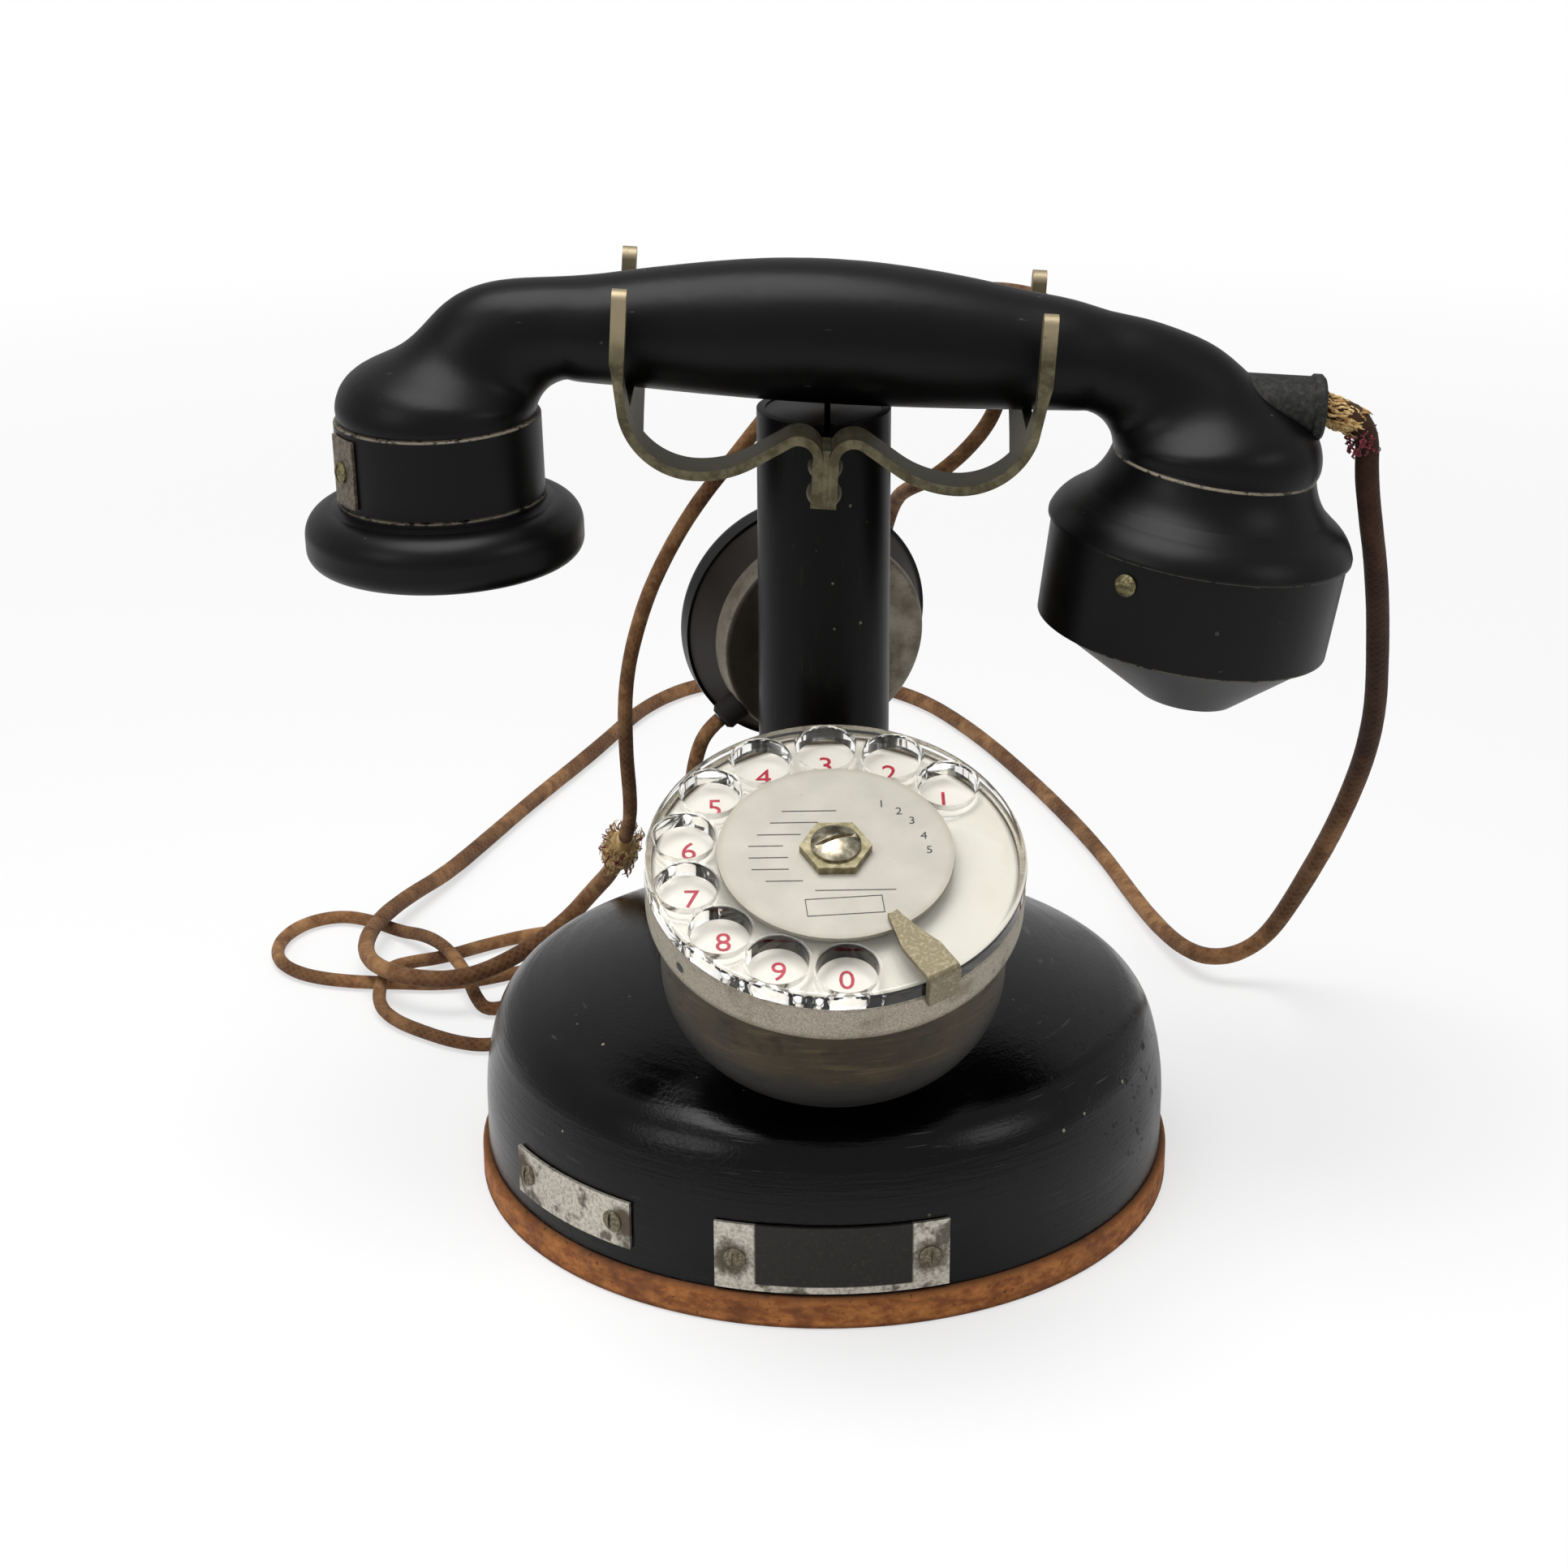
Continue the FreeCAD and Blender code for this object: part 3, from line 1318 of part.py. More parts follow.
def routed(points, radius, label):
    """Edges of straight runs joined by tangent arcs, with the arcs' least radius printed."""
    points = [Vector(*point) for point in points]
    edges, radii, start = [], [], points[0]
    for before, corner, after in zip(points, points[1:], points[2:]):
        come, leave = corner - before, after - corner
        run = min(come.Length, leave.Length)
        come.normalize()
        leave.normalize()
        turn = come.getAngle(leave)
        reach = 0.45 * run
        bend = reach / math.tan(turn / 2)
        radii.append(bend)
        first, last = corner - come * reach, corner + leave * reach
        inward = (leave - come).normalize()
        middle = corner + inward * (math.hypot(bend, reach) - bend)
        edges.append(Part.makeLine(start, first))
        edges.append(Part.Arc(first, middle, last).toShape())
        start = last
    edges.append(Part.makeLine(start, points[-1]))
    tight = [f"{bend / (2 * radius):.1f} at {turn + 1}" for turn, bend in enumerate(radii)
             if bend < 6 * radius]
    print(f"{label}: bends under three diameters: {', '.join(tight)}")
    length = sum(edge.Length for edge in edges)
    print(f"{label}: {length:.0f} mm, least bend {min(radii) / (2 * radius):.1f} diameters")
    return edges


# Routes of the free cords, as points of their middle lines, chosen by eye.
HANDSET_ROUTE = [
    (115.28, -4.38, 193.72), (121.5, -4.6, 193.3), (126, -4.9, 187.5), (126.2, -4.6, 178),
    (128.6, -1, 166), (132.6, 7, 150.5), (137, 20, 130), (142.5, 41, 96), (139.5, 61, 63),
    (132, 79, 32), (126.5, 88.5, 15.5), (119, 91, 9), (111, 92.5, 7.6), (105.8, 102, 6.2),
    (102, 117, 4.6), (98, 141, 2.6), (91, 182, 2.6), (78, 231, 2.4), (61, 282, 2.4),
    (42, 319, 2.4), (10, 338, 2.4), (-27, 334, 2.4), (-49, 312, 2.4), (-64, 272, 2.4),
    (-84.5, 226, 2.4), (-96.7, 195.7, 2.5), (-107.2, 168.1, 3.4), (-117.5, 145.2, 6),
    (-124.2, 125, 7.6), (-126.1, 109.3, 8.2), (-123.6, 95.9, 9.1), (-117, 86.6, 9.9),
    (-107.6, 81.2, 10.2), (-98.5, 79.6, 10.8), (-89.7, 82.4, 11.9), (-78.9, 89.6, 14.6),
    (-68, 94.6, 21), (-59.9, 90, 32.5), (-54.6, 80.4, 42.2), (-53.2, 75.2, 47.6)]
BRANCH_ROUTE = [
    (-48.2, 52, 74), (-49, 43.5, 92),
    (-48.6, 37, 114), (-43.5, 32.5, 135), (-37, 30, 150), (-29.5, 28, 163), (-21, 26.6, 174),
    (-11, 26.6, 187), (3, 29, 201), (17, 30.5, 209.5), (31, 30, 213.6), (43.5, 29, 214.6),
    (55, 26.6, 212.4), (56, 14.2, 206.6), (45.8, 13.9, 202.4), (43, 16.8, 194),
    (40.6, 19.4, 184.8), (34.4, 22, 176), (27, 26.5, 168.3), (22.6, 38, 162.8),
    (20, 53, 155.5), (17.6, 65, 142), (16, 74, 120), (16.6, 83, 97), (19.4, 94, 72),
    (22.8, 103, 48), (24.2, 104.8, 32), (22.37, 96.9, 14), (17.9, 77.5, 14)]
AUX_ROUTE = [
    (-24.87, 18.29, 110.05), (-28.4, 17.3, 107.4), (-31, 17.6, 100.5), (-32.6, 24, 88),
    (-34, 38, 76), (-36, 56, 66.5), (-38.5, 74, 51), (-42, 88, 31), (-48.5, 98, 14.5),
    (-58, 104, 5.2), (-71, 105, 2.3), (-83, 102, 1.9), (-94, 96.6, 1.9), (-104.5, 95, 1.9),
    (-115, 96.2, 1.9), (-126, 97, 1.9), (-137, 99.6, 1.9), (-145, 104, 1.9),
    (-150.6, 111, 1.9), (-152.6, 120, 1.9), (-150.8, 130, 1.9), (-145, 138.5, 1.9),
    (-136, 142.2, 1.9), (-127, 138.5, 1.9), (-118, 130.5, 1.9), (-111, 122, 4.8),
    (-105, 112.6, 6.5), (-100, 102.5, 6.4), (-96, 93, 5.2), (-93.4, 84, 3.2), (-90, 77.5, 2),
    (-83, 81, 1.9), (-75, 91, 1.9), (-62, 100, 1.9), (-46, 106.5, 1.9), (-29, 110, 2.2),
    (-13, 109, 5), (-2.5, 103.5, 10.4), (0, 96, 14), (0, 79.4, 14)]
LINE_ROUTE = [
    (-17.9, 77.5, 14), (-22.37, 96.9, 14), (-31.5, 100, 7), (-43, 95, 2.4), (-57, 85.5, 1.9),
    (-69, 73.6, 1.9), (-79, 61.4, 1.9), (-88, 56.2, 1.9), (-97, 58.8, 1.9),
    (-106, 65, 1.9), (-114.6, 72.4, 1.9), (-119.8, 80.5, 2.6), (-120.2, 89, 4.8),
    (-118.2, 97, 6.3), (-113, 105, 4.2), (-104.5, 112.4, 1.9), (-92, 121, 1.9),
    (-79, 127.6, 1.9), (-62, 131.4, 1.9), (-43, 130, 1.9), (-24, 123.4, 1.9),
    (-6, 115.5, 1.9), (8, 113, 2.15)]


def make_cords():
    thick, thin = size.cord_rad.value, size.thin_cord_rad.value
    piece(custom("handset_cord", swept(routed(HANDSET_ROUTE, thick, "handset cord"), thick)))
    piece(custom("aux_cord", swept(routed(AUX_ROUTE, thin, "receiver cord"), thin)))

    long, wide = size.joint_long.value, size.joint_rad.value
    start = Vector(*HANDSET_ROUTE[-1])
    way = (start - Vector(*HANDSET_ROUTE[-2])).normalize()
    route = [start + way * long, start + way * (long + 6)] + BRANCH_ROUTE
    piece(custom("branch_cord", swept(routed(route, thin, "branch cord"), thin)))
    taper = long * 0.28
    neck = Part.makeCone(thick + 0.3, wide, taper, start, way)
    swell = Part.makeCylinder(wide, long - 2 * taper, start + way * taper, way)
    top = Part.makeCone(wide, thin + 0.6, taper, start + way * (long - taper), way)
    piece(custom("cord_joint", neck.fuse([swell, top]).removeSplitter()))

    coil_points, lead = winding(thin)
    tube = wound_tube(coil_points, thin, Vector(1, 0, 0), lead)
    route = LINE_ROUTE + [coil_points[0] - Vector(size.cord_lead.value, 0, 0)]
    piece(custom("line_cord", swept(routed(route, thin, "line cord"), thin)))
    ends = [Part.makeCylinder(thin, size.cord_lead.value, coil_points[0], Vector(-1, 0, 0)),
            Part.makeCylinder(thin, size.cord_lead.value, coil_points[-1], lead)]
    piece(custom("line_coil", tube.fuse(ends)))
    tip = coil_points[-1] + lead * size.cord_lead.value
    long, sleeve = size.lug_long.value, size.lug_sleeve.value
    barrel = Part.makeCylinder(sleeve, long / 2, tip, lead)
    blade = Part.makeBox(long, 2 * sleeve, 1, Vector(0, -sleeve, -0.5))
    blade = blade.cut(Part.makeBox(long / 3, sleeve, 2, Vector(long * 2 / 3, -sleeve / 2, -1)))
    blade.rotate(Vector(), Vector(0, 0, 1), 180)
    blade.translate(tip + lead * (long / 2 - 1))
    piece(custom("line_lug", barrel.fuse(blade)))


def winding(radius):
    """Quarter-turn points of the put-away cord: a layer inward, then a layer outward."""
    outer, step = size.coil_outer.value, size.coil_step.value
    layer, turns = size.coil_layer.value, SIZES["coil_turns"]
    middle = Vector(size.coil_x.value, size.coil_y.value, radius + size.coil_lift.value)
    points = []
    total = 8 * turns + 2
    for quarter in range(total + 1):
        turn = math.radians(90 * quarter - 90)
        inward = min(quarter, 4 * turns) - max(quarter - 4 * turns - 2, 0)
        climb = min(max(quarter - 4 * turns, 0), 2) / 2
        reach = outer - step * inward / 4
        points.append(middle + Vector(
            reach * math.cos(turn), reach * math.sin(turn), layer * climb))
    last = math.radians(90 * total - 90)
    lead = Vector(-math.sin(last), math.cos(last), 0)
    gap = min((one - other).Length for place_one, one in enumerate(points)
              for other in points[place_one + 3:])
    print(f"line coil: least gap to itself {gap - 2 * radius:.2f} mm")
    return points, lead


for make in (make_base, make_badges, make_glands, make_column, make_plunger, make_dial_case,
             make_finger_wheel, make_finger_stop, make_dial_works, make_fork):
    make()
make_transmitter(make_handset())
make_aux_receiver()
make_base_works()
make_cords()

doc.recompute()
faults = [item.Label for item in doc.Objects if {"Invalid", "Error"} & set(item.State)]
faults += [item.Label for item in pieces if item.Shape.isNull() or not item.Shape.isValid()]
if faults:
    raise RuntimeError("these failed: " + ", ".join(faults))
os.makedirs("parts", exist_ok=True)
for item in pieces:
    item.Shape.exportStep(f"parts/{item.Label}.step")
    box = item.Shape.BoundBox
    print(f"{item.Label:24s} {len(item.Shape.Solids)} {item.Shape.Volume:10.0f} "
          f"x {box.XMin:.1f} {box.XMax:.1f} y {box.YMin:.1f} {box.YMax:.1f} "
          f"z {box.ZMin:.1f} {box.ZMax:.1f}")
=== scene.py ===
import bpy
import bmesh
import math
import random
from mathutils import Matrix, Vector


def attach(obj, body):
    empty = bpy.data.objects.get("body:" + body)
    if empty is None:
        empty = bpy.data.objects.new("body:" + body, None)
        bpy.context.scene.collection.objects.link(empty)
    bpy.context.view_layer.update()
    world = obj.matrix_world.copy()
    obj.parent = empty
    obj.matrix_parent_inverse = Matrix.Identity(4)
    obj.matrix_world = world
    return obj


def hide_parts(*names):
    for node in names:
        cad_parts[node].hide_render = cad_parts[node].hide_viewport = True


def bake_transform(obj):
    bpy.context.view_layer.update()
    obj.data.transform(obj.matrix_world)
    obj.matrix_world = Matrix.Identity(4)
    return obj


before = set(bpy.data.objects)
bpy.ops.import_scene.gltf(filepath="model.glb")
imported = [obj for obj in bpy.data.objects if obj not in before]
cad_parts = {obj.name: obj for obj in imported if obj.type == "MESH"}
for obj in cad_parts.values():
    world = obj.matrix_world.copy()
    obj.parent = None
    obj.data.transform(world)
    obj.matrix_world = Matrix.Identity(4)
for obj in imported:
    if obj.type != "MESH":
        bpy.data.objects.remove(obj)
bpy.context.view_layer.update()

# The studio: a white floor that runs off to a white background, one large soft light
# above the telephone, and two weaker ones in front. The camera stands where the
# photographer stood, a little above the handset and looking down at the dial.
EYE = Vector((-0.02751, -0.72736, 0.39877))
LOOK = Vector((0.0227, 0.9248, -0.3798))
UPRIGHT = Vector((0.0145, 0.3796, 0.925))
LENS_MM, SENSOR_MM = 74.53, 36

scene = bpy.context.scene
scene.view_settings.view_transform = "Standard"
lens = bpy.data.cameras.new("camera")
lens.lens, lens.sensor_width = LENS_MM, SENSOR_MM
lens.clip_start, lens.clip_end = 0.02, 20
camera = bpy.data.objects.new("camera", lens)
sideways = LOOK.cross(UPRIGHT).normalized()
camera.matrix_world = Matrix((
    (sideways.x, UPRIGHT.x, -LOOK.x, EYE.x), (sideways.y, UPRIGHT.y, -LOOK.y, EYE.y),
    (sideways.z, UPRIGHT.z, -LOOK.z, EYE.z), (0, 0, 0, 1)))
scene.collection.objects.link(camera)
scene.camera = camera


def soft_light(name, place, target, size, watts):
    lamp = bpy.data.lights.new(name, "AREA")
    lamp.shape, lamp.size, lamp.energy = "DISK", size, watts
    holder = bpy.data.objects.new(name, lamp)
    holder.location = place
    holder.rotation_euler = (Vector(target) - Vector(place)).to_track_quat("-Z", "Y").to_euler()
    scene.collection.objects.link(holder)


soft_light("top_light", (-0.15, -0.12, 1.05), (0, 0, 0.1), 0.8, 9.5)
soft_light("left_light", (-0.95, -0.75, 0.75), (0, 0, 0.12), 0.6, 2.2)
soft_light("right_light", (0.95, -0.55, 0.7), (0, 0, 0.12), 0.5, 1.4)


# The white floor and the white air behind it. What the camera, metal and glass see of
# them is white, and the light that they give to the telephone is weaker than that. The
# floor's own glow grows with the distance from the telephone, here in millimetres.
AIR_LIGHT, AIR_SHINE = 0.36, 0.3
PAPER_WHITE = (0.9, 0.9, 0.9)
FLOOR_RADIUS, FLOOR_DROP = 6, 0.0005
FLOOR_GLOW, GLOW_FROM, GLOW_FULL = 0.62, 300, 1000


class Value:
    """A number in a node tree. Sums written with it add their Math nodes."""

    def __init__(self, owner, socket):
        self.owner, self.socket = owner, socket

    def maths(self, operation, *others):
        inputs = dict(enumerate((self,) + others))
        return self.owner.node("ShaderNodeMath", {"operation": operation}, inputs)

    def __add__(self, other):
        return self.maths("ADD", other)

    def __mul__(self, other):
        return self.maths("MULTIPLY", other)

    def __sub__(self, other):
        return self.maths("SUBTRACT", other)

    def __rsub__(self, other):
        return self.owner.node("ShaderNodeMath", {"operation": "SUBTRACT"}, {0: other, 1: self})

    def __abs__(self):
        return self.maths("ABSOLUTE")

    __radd__ = __add__
    __rmul__ = __mul__

    def step(self, low, high):
        """0 below low and 1 above high, or the other way round, with a smooth change."""
        turned = low > high
        if turned:
            low, high = high, low
        stepped = self.owner.node(
            "ShaderNodeMapRange", {"interpolation_type": "SMOOTHSTEP"},
            {"Value": self, "From Min": low, "From Max": high})
        return 1 - stepped if turned else stepped

    def near(self, target, width):
        """1 at the target, falling to 0 a width away on both sides."""
        return abs(self - target).step(width, width * 0.35)


class Nodes:
    """A node tree, whose nodes are all made by one method."""

    def __init__(self, tree):
        self.tree = tree

    def node(self, kind, settings, inputs, output=0):
        made = self.tree.nodes.new(kind)
        for name, value in settings.items():
            setattr(made, name, value)
        for name, value in inputs.items():
            self.feed(made.inputs[name], value)
        return Value(self, made.outputs[output])

    def feed(self, socket, value):
        if isinstance(value, Value):
            self.tree.links.new(value.socket, socket)
        elif isinstance(value, tuple) and len(value) == 3 and socket.type == "RGBA":
            socket.default_value = (*value, 1)
        else:
            socket.default_value = value

    def rays(self, kind):
        """1 for the rays of one kind, and 0 for all others."""
        return self.node("ShaderNodeLightPath", {}, {}, f"Is {kind} Ray")


class Finish(Nodes):
    """A material: its principled shader, and the nodes that feed it, in millimetres."""

    def __init__(self, name, roughness=0.5, metallic=0.0, specular=0.5, **sockets):
        self.material = bpy.data.materials.new(name)
        self.material.use_nodes = True
        super().__init__(self.material.node_tree)
        self.shader = self.tree.nodes["Principled BSDF"]
        self.set("Roughness", roughness)
        self.set("Metallic", metallic)
        self.set("Specular IOR Level", specular)
        for socket, value in sockets.items():
            self.set(socket.replace("_", " "), value)
        where = self.node("ShaderNodeTexCoord", {}, {}, "Object")
        self.place = self.vector("SCALE", where, Scale=1000)

    def set(self, socket, value):
        self.feed(self.shader.inputs[socket], value)

    def vector(self, operation, first, second=None, output=0, **named):
        inputs = {0: first} if second is None else {0: first, 1: second}
        return self.node("ShaderNodeVectorMath", {"operation": operation},
                         {**inputs, **named}, output)

    def along(self, origin, way):
        """Millimetres from a plane through the origin, square to a way."""
        offset = self.vector("SUBTRACT", self.place, tuple(origin))
        return self.vector("DOT_PRODUCT", offset, tuple(way), "Value")

    def off_axis(self, origin, way):
        """Millimetres from a line through the origin along a way."""
        offset = self.vector("SUBTRACT", self.place, tuple(origin))
        across = self.vector("CROSS_PRODUCT", offset, tuple(way))
        return self.vector("LENGTH", across, None, "Value")

    def from_point(self, point):
        return self.vector("DISTANCE", self.place, tuple(point), "Value")

    def spread_out(self, size, stretch, shift):
        """The place, scaled so that a size in millimetres counts as one."""
        scaled = self.vector("MULTIPLY", self.place, tuple(1 / size / s for s in stretch))
        return self.vector("ADD", scaled, (shift, shift, shift))

    def noise(self, size, stretch=(1, 1, 1), detail=3.0, rough=0.55, shift=0.0):
        """Cloudy noise about 0.5, with spots of a size in millimetres."""
        return self.node("ShaderNodeTexNoise", {}, {
            "Vector": self.spread_out(size, stretch, shift), "Scale": 1.0, "Detail": detail,
            "Roughness": rough, "Distortion": 0.0})

    def cells(self, size, feature="F1", shift=0.0):
        """Distance from scattered points, or from the edges of the cells round them."""
        return self.node("ShaderNodeTexVoronoi", {"feature": feature}, {
            "Vector": self.spread_out(size, (1, 1, 1), shift), "Scale": 1.0}, "Distance")

    def mix(self, mask, under, over):
        """The colour over laid on the colour under where the mask is 1."""
        return self.node("ShaderNodeMix", {"data_type": "RGBA"}, {0: mask, 6: under, 7: over}, 2)

    def bumps(self, height, millimetres, strength=1.0):
        self.set("Normal", self.node("ShaderNodeBump", {}, {
            "Height": height, "Distance": millimetres / 1000, "Strength": strength}))


air = bpy.data.worlds.new("air")
air.use_nodes = True
sky = Nodes(air.node_tree)
seen = sky.rays("Camera") + sky.rays("Transmission")
clear = sky.node("ShaderNodeMath", {"operation": "ADD", "use_clamp": True},
                 {0: seen, 1: sky.rays("Glossy") * AIR_SHINE})
backdrop = sky.tree.nodes["Background"]
sky.feed(backdrop.inputs["Strength"], sky.node(
    "ShaderNodeMapRange", {}, {"Value": clear, "To Min": AIR_LIGHT, "To Max": 1.0}))
sky.feed(backdrop.inputs["Color"], (1, 1, 1))
scene.world = air

paper = Finish("white_floor", roughness=0.9, specular=0.1, Base_Color=PAPER_WHITE)
away = paper.vector("LENGTH", paper.place, output="Value")
fading = paper.node("ShaderNodeMapRange", {}, {
    "Value": away, "From Min": GLOW_FROM, "From Max": GLOW_FULL, "To Min": FLOOR_GLOW,
    "To Max": 1.0})
glowing = paper.node("ShaderNodeMixShader", {}, {
    0: paper.rays("Camera") * fading, 1: Value(paper, paper.shader.outputs[0]),
    2: paper.node("ShaderNodeEmission", {}, {})})
paper.feed(paper.tree.nodes["Material Output"].inputs["Surface"], glowing)
bpy.ops.mesh.primitive_circle_add(vertices=96, radius=FLOOR_RADIUS, fill_type="NGON",
                                  location=(0, 0, -FLOOR_DROP))
floor = bpy.context.object
floor.name = "floor"
floor.data.materials.append(paper.material)

# Base: a pressed steel dome under thick black lacquer, brushed on by hand and crazed
# and chipped with age, on a ring that is worn to orange brown. A sheet brass plate with
# four screws closes it from below.
CHIPS_MIDDLE = (66, -38, 40)


def tone(code):
    """A colour from its written form, as the shaders take it."""
    parts = [int(code[at:at + 2], 16) / 255 for at in (0, 2, 4)]
    return tuple(part / 12.92 if part < 0.04045 else ((part + 0.055) / 1.055) ** 2.4
                 for part in parts)


def dress(finish, *nodes):
    for node in nodes:
        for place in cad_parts[node].material_slots:
            place.link = "OBJECT"
            place.material = finish.material


def clouded(name, cloud, tones, rough, nodes, change=None, bumps=None, **sockets):
    """A finish that one noise carries: its colour, its roughness and its bumps."""
    finish = Finish(name, **sockets)
    clouds = finish.noise(**cloud)
    mask = clouds.step(*change) if change else clouds
    finish.set("Base Color", finish.mix(mask, tone(tones[0]), tone(tones[1])))
    finish.set("Roughness", rough[0] + clouds * rough[1])
    if bumps:
        finish.bumps(clouds, *bumps)
    dress(finish, *nodes)


lacquer = Finish("dome_lacquer", specular=0.2)
streaks = lacquer.noise(2.2, stretch=(9, 9, 0.5), detail=4, rough=0.6)
grain = lacquer.noise(0.9, detail=5, rough=0.65)
patches = lacquer.noise(34, detail=3, rough=0.5, shift=4.2)
dull = patches.step(0.46, 0.62)
crazed = lacquer.cells(1.5, feature="DISTANCE_TO_EDGE").step(0.10, 0.02)
crazing = crazed * lacquer.noise(16, detail=2, shift=9.1).step(0.5, 0.66)
chipped = (lacquer.noise(3.4, detail=6, rough=0.7, shift=2.0).step(0.60, 0.63)
           * lacquer.from_point(CHIPS_MIDDLE).step(30, 12))
fine_lines = lacquer.noise(0.55, stretch=(26, 26, 1), detail=2, rough=0.4, shift=7.7)
scratched = (fine_lines.step(0.70, 0.74)
             * lacquer.noise(22, detail=1, shift=1.3).step(0.5, 0.62))
specks = (lacquer.cells(7.5, shift=3.3).step(0.07, 0.045)
          * lacquer.noise(18, shift=5.0).step(0.5, 0.6))
colour = lacquer.mix(dull, tone("030304"), tone("060605"))
colour = lacquer.mix(crazing * 0.08, colour, tone("2b2a28"))
colour = lacquer.mix(scratched * 0.5, colour, tone("55524c"))
colour = lacquer.mix(specks, colour, tone("8d8674"))
colour = lacquer.mix(chipped, colour, tone("030303"))
lacquer.set("Base Color", colour)
lacquer.set("Roughness", 0.10 + dull * 0.10 + crazing * 0.06 + chipped * 0.4 + streaks * 0.08)
lacquer.bumps(grain * 0.4 + streaks * 0.9 + crazing * 0.12 - chipped * 1.2, 0.16, 0.8)
dress(lacquer, "base_dome")

RING_EDGE, TOP_DARK_LINE, RING_FOOT = (83.5, 85), (8.2, 10.6), (1.2, 0.2)
ring = Finish("ring_brown", specular=0.25)
mottle = ring.noise(5, stretch=(1, 1, 0.5), detail=5, rough=0.65)
pits = ring.noise(1.1, detail=4, rough=0.7, shift=3.0).step(0.60, 0.70)
height = ring.along((0, 0, 0), (0, 0, 1))
rubbed = ring.off_axis((0, 0, 0), (0, 0, 1)).step(*RING_EDGE)
# The ring is painted darker towards its top edge.
top_darkening = (height + mottle * 4).step(*TOP_DARK_LINE)
colour = ring.mix(mottle.step(0.35, 0.68), tone("7d4824"), tone("b5763f"))
darkened = ring.noise(14, detail=3, shift=8).step(0.52, 0.72)
colour = ring.mix(darkened * 0.7, colour, tone("5f3722"))
colour = ring.mix(pits * 0.85, colour, tone("2a1b14"))
colour = ring.mix(top_darkening * 0.8, colour, tone("1b1613"))
colour = ring.mix(height.step(*RING_FOOT) * 0.6, colour, tone("3a251a"))
ring.set("Base Color", ring.mix(rubbed, tone("14110f"), colour))
ring.set("Roughness", 0.62 + mottle * 0.2)
ring.bumps(mottle * 0.6 + pits * -0.8, 0.15, 0.7)
dress(ring, "base_ring")

clouded("sheet_brass", dict(size=9, detail=4), ("6b5a38", "8b7748"), (0.42, 0.25),
        ("bottom_plate",), metallic=1.0)

# Two name plates of nickelled sheet, bent to the dome and screwed on. The left one is
# bare and light. The front one keeps a dark enamelled field between its bright ends,
# and rust has spread from under the screws of both.
FRONT_FIELD = (-12.9, 11.7)
FIELD_FOOT, FIELD_SOFT = (10.2, 10.6), 0.25
LEFT_SCREWS = ((-72.4, -42.3, 19), (-47.6, -69, 19))
FRONT_SCREWS = ((-23.7, -79.9, 16.8), (21, -80.8, 16.8))
badge = Finish("plate_metal", metallic=0.75, specular=0.4)
across = badge.along((0, 0, 0), (1, 0, 0))
forward = badge.along((0, 0, 0), (0, 1, 0))
height = badge.along((0, 0, 0), (0, 0, 1))
spots = badge.noise(0.9, detail=5, rough=0.7)
cloud = badge.noise(6, detail=4, shift=2.0)
rust = None
for screw in LEFT_SCREWS + FRONT_SCREWS:
    ringed = (badge.from_point(screw) + cloud * 6 - spots * 3).step(7.4, 4.4)
    rust = ringed if rust is None else rust.maths("MAXIMUM", ringed)
spread = across.maths("ARCTAN2", forward * -1) * (180 / math.pi)
field = (spread.step(FRONT_FIELD[0] - FIELD_SOFT, FRONT_FIELD[0] + FIELD_SOFT)
         * spread.step(FRONT_FIELD[1] + FIELD_SOFT, FRONT_FIELD[1] - FIELD_SOFT)
         * height.step(*FIELD_FOOT))
metal = badge.mix(spots.step(0.35, 0.75), tone("cbc6ba"), tone("8d8577"))
metal = badge.mix(cloud.step(0.54, 0.66) * 0.8, metal, tone("352d21"))
enamel = badge.mix(spots.step(0.40, 0.78), tone("12100b"), tone("272118"))
worn = spots.step(0.62, 0.70) * cloud.step(0.45, 0.60)
enamel = badge.mix(worn * 0.55, enamel, tone("5d513d"))
rusty = badge.mix(spots.step(0.4, 0.6), tone("2b2015"), tone("54422a"))
colour = badge.mix(rust * 0.9, metal, rusty)
badge.set("Base Color", badge.mix(field, colour, enamel))
badge.set("Metallic", (1 - field) * (1 - rust * 0.8) * 0.8)
badge.set("Roughness", 0.38 + rust * 0.35 + field * 0.2 + spots * 0.12)
badge.bumps(spots * 0.5 + rust * 0.6 + cloud * 0.3, 0.12, 0.6)
dress(badge, "left_name_plate", "front_name_plate")

# Screws, spring, contacts, diaphragm, and the second receiver's hook and ring, of plain
# steel gone dull. Black rubber glands let the cords into the base and that receiver.
clouded("steel", dict(size=0.8, detail=5, rough=0.7), ("5d5443", "8f8775"), (0.4, 0.25),
        ("small_screws", "plunger_spring", "pulse_contacts", "receiver_diaphragm", "aux_bail",
         "aux_hook", "switch_contacts"), change=(0.4, 0.65), bumps=(0.05, 0.4), metallic=0.85)
clouded("black_rubber", dict(size=2.5, detail=4), ("14110f", "27211c"), (0.6, 0.2),
        ("cord_glands", "aux_gland"), bumps=(0.1, 0.4), specular=0.3)

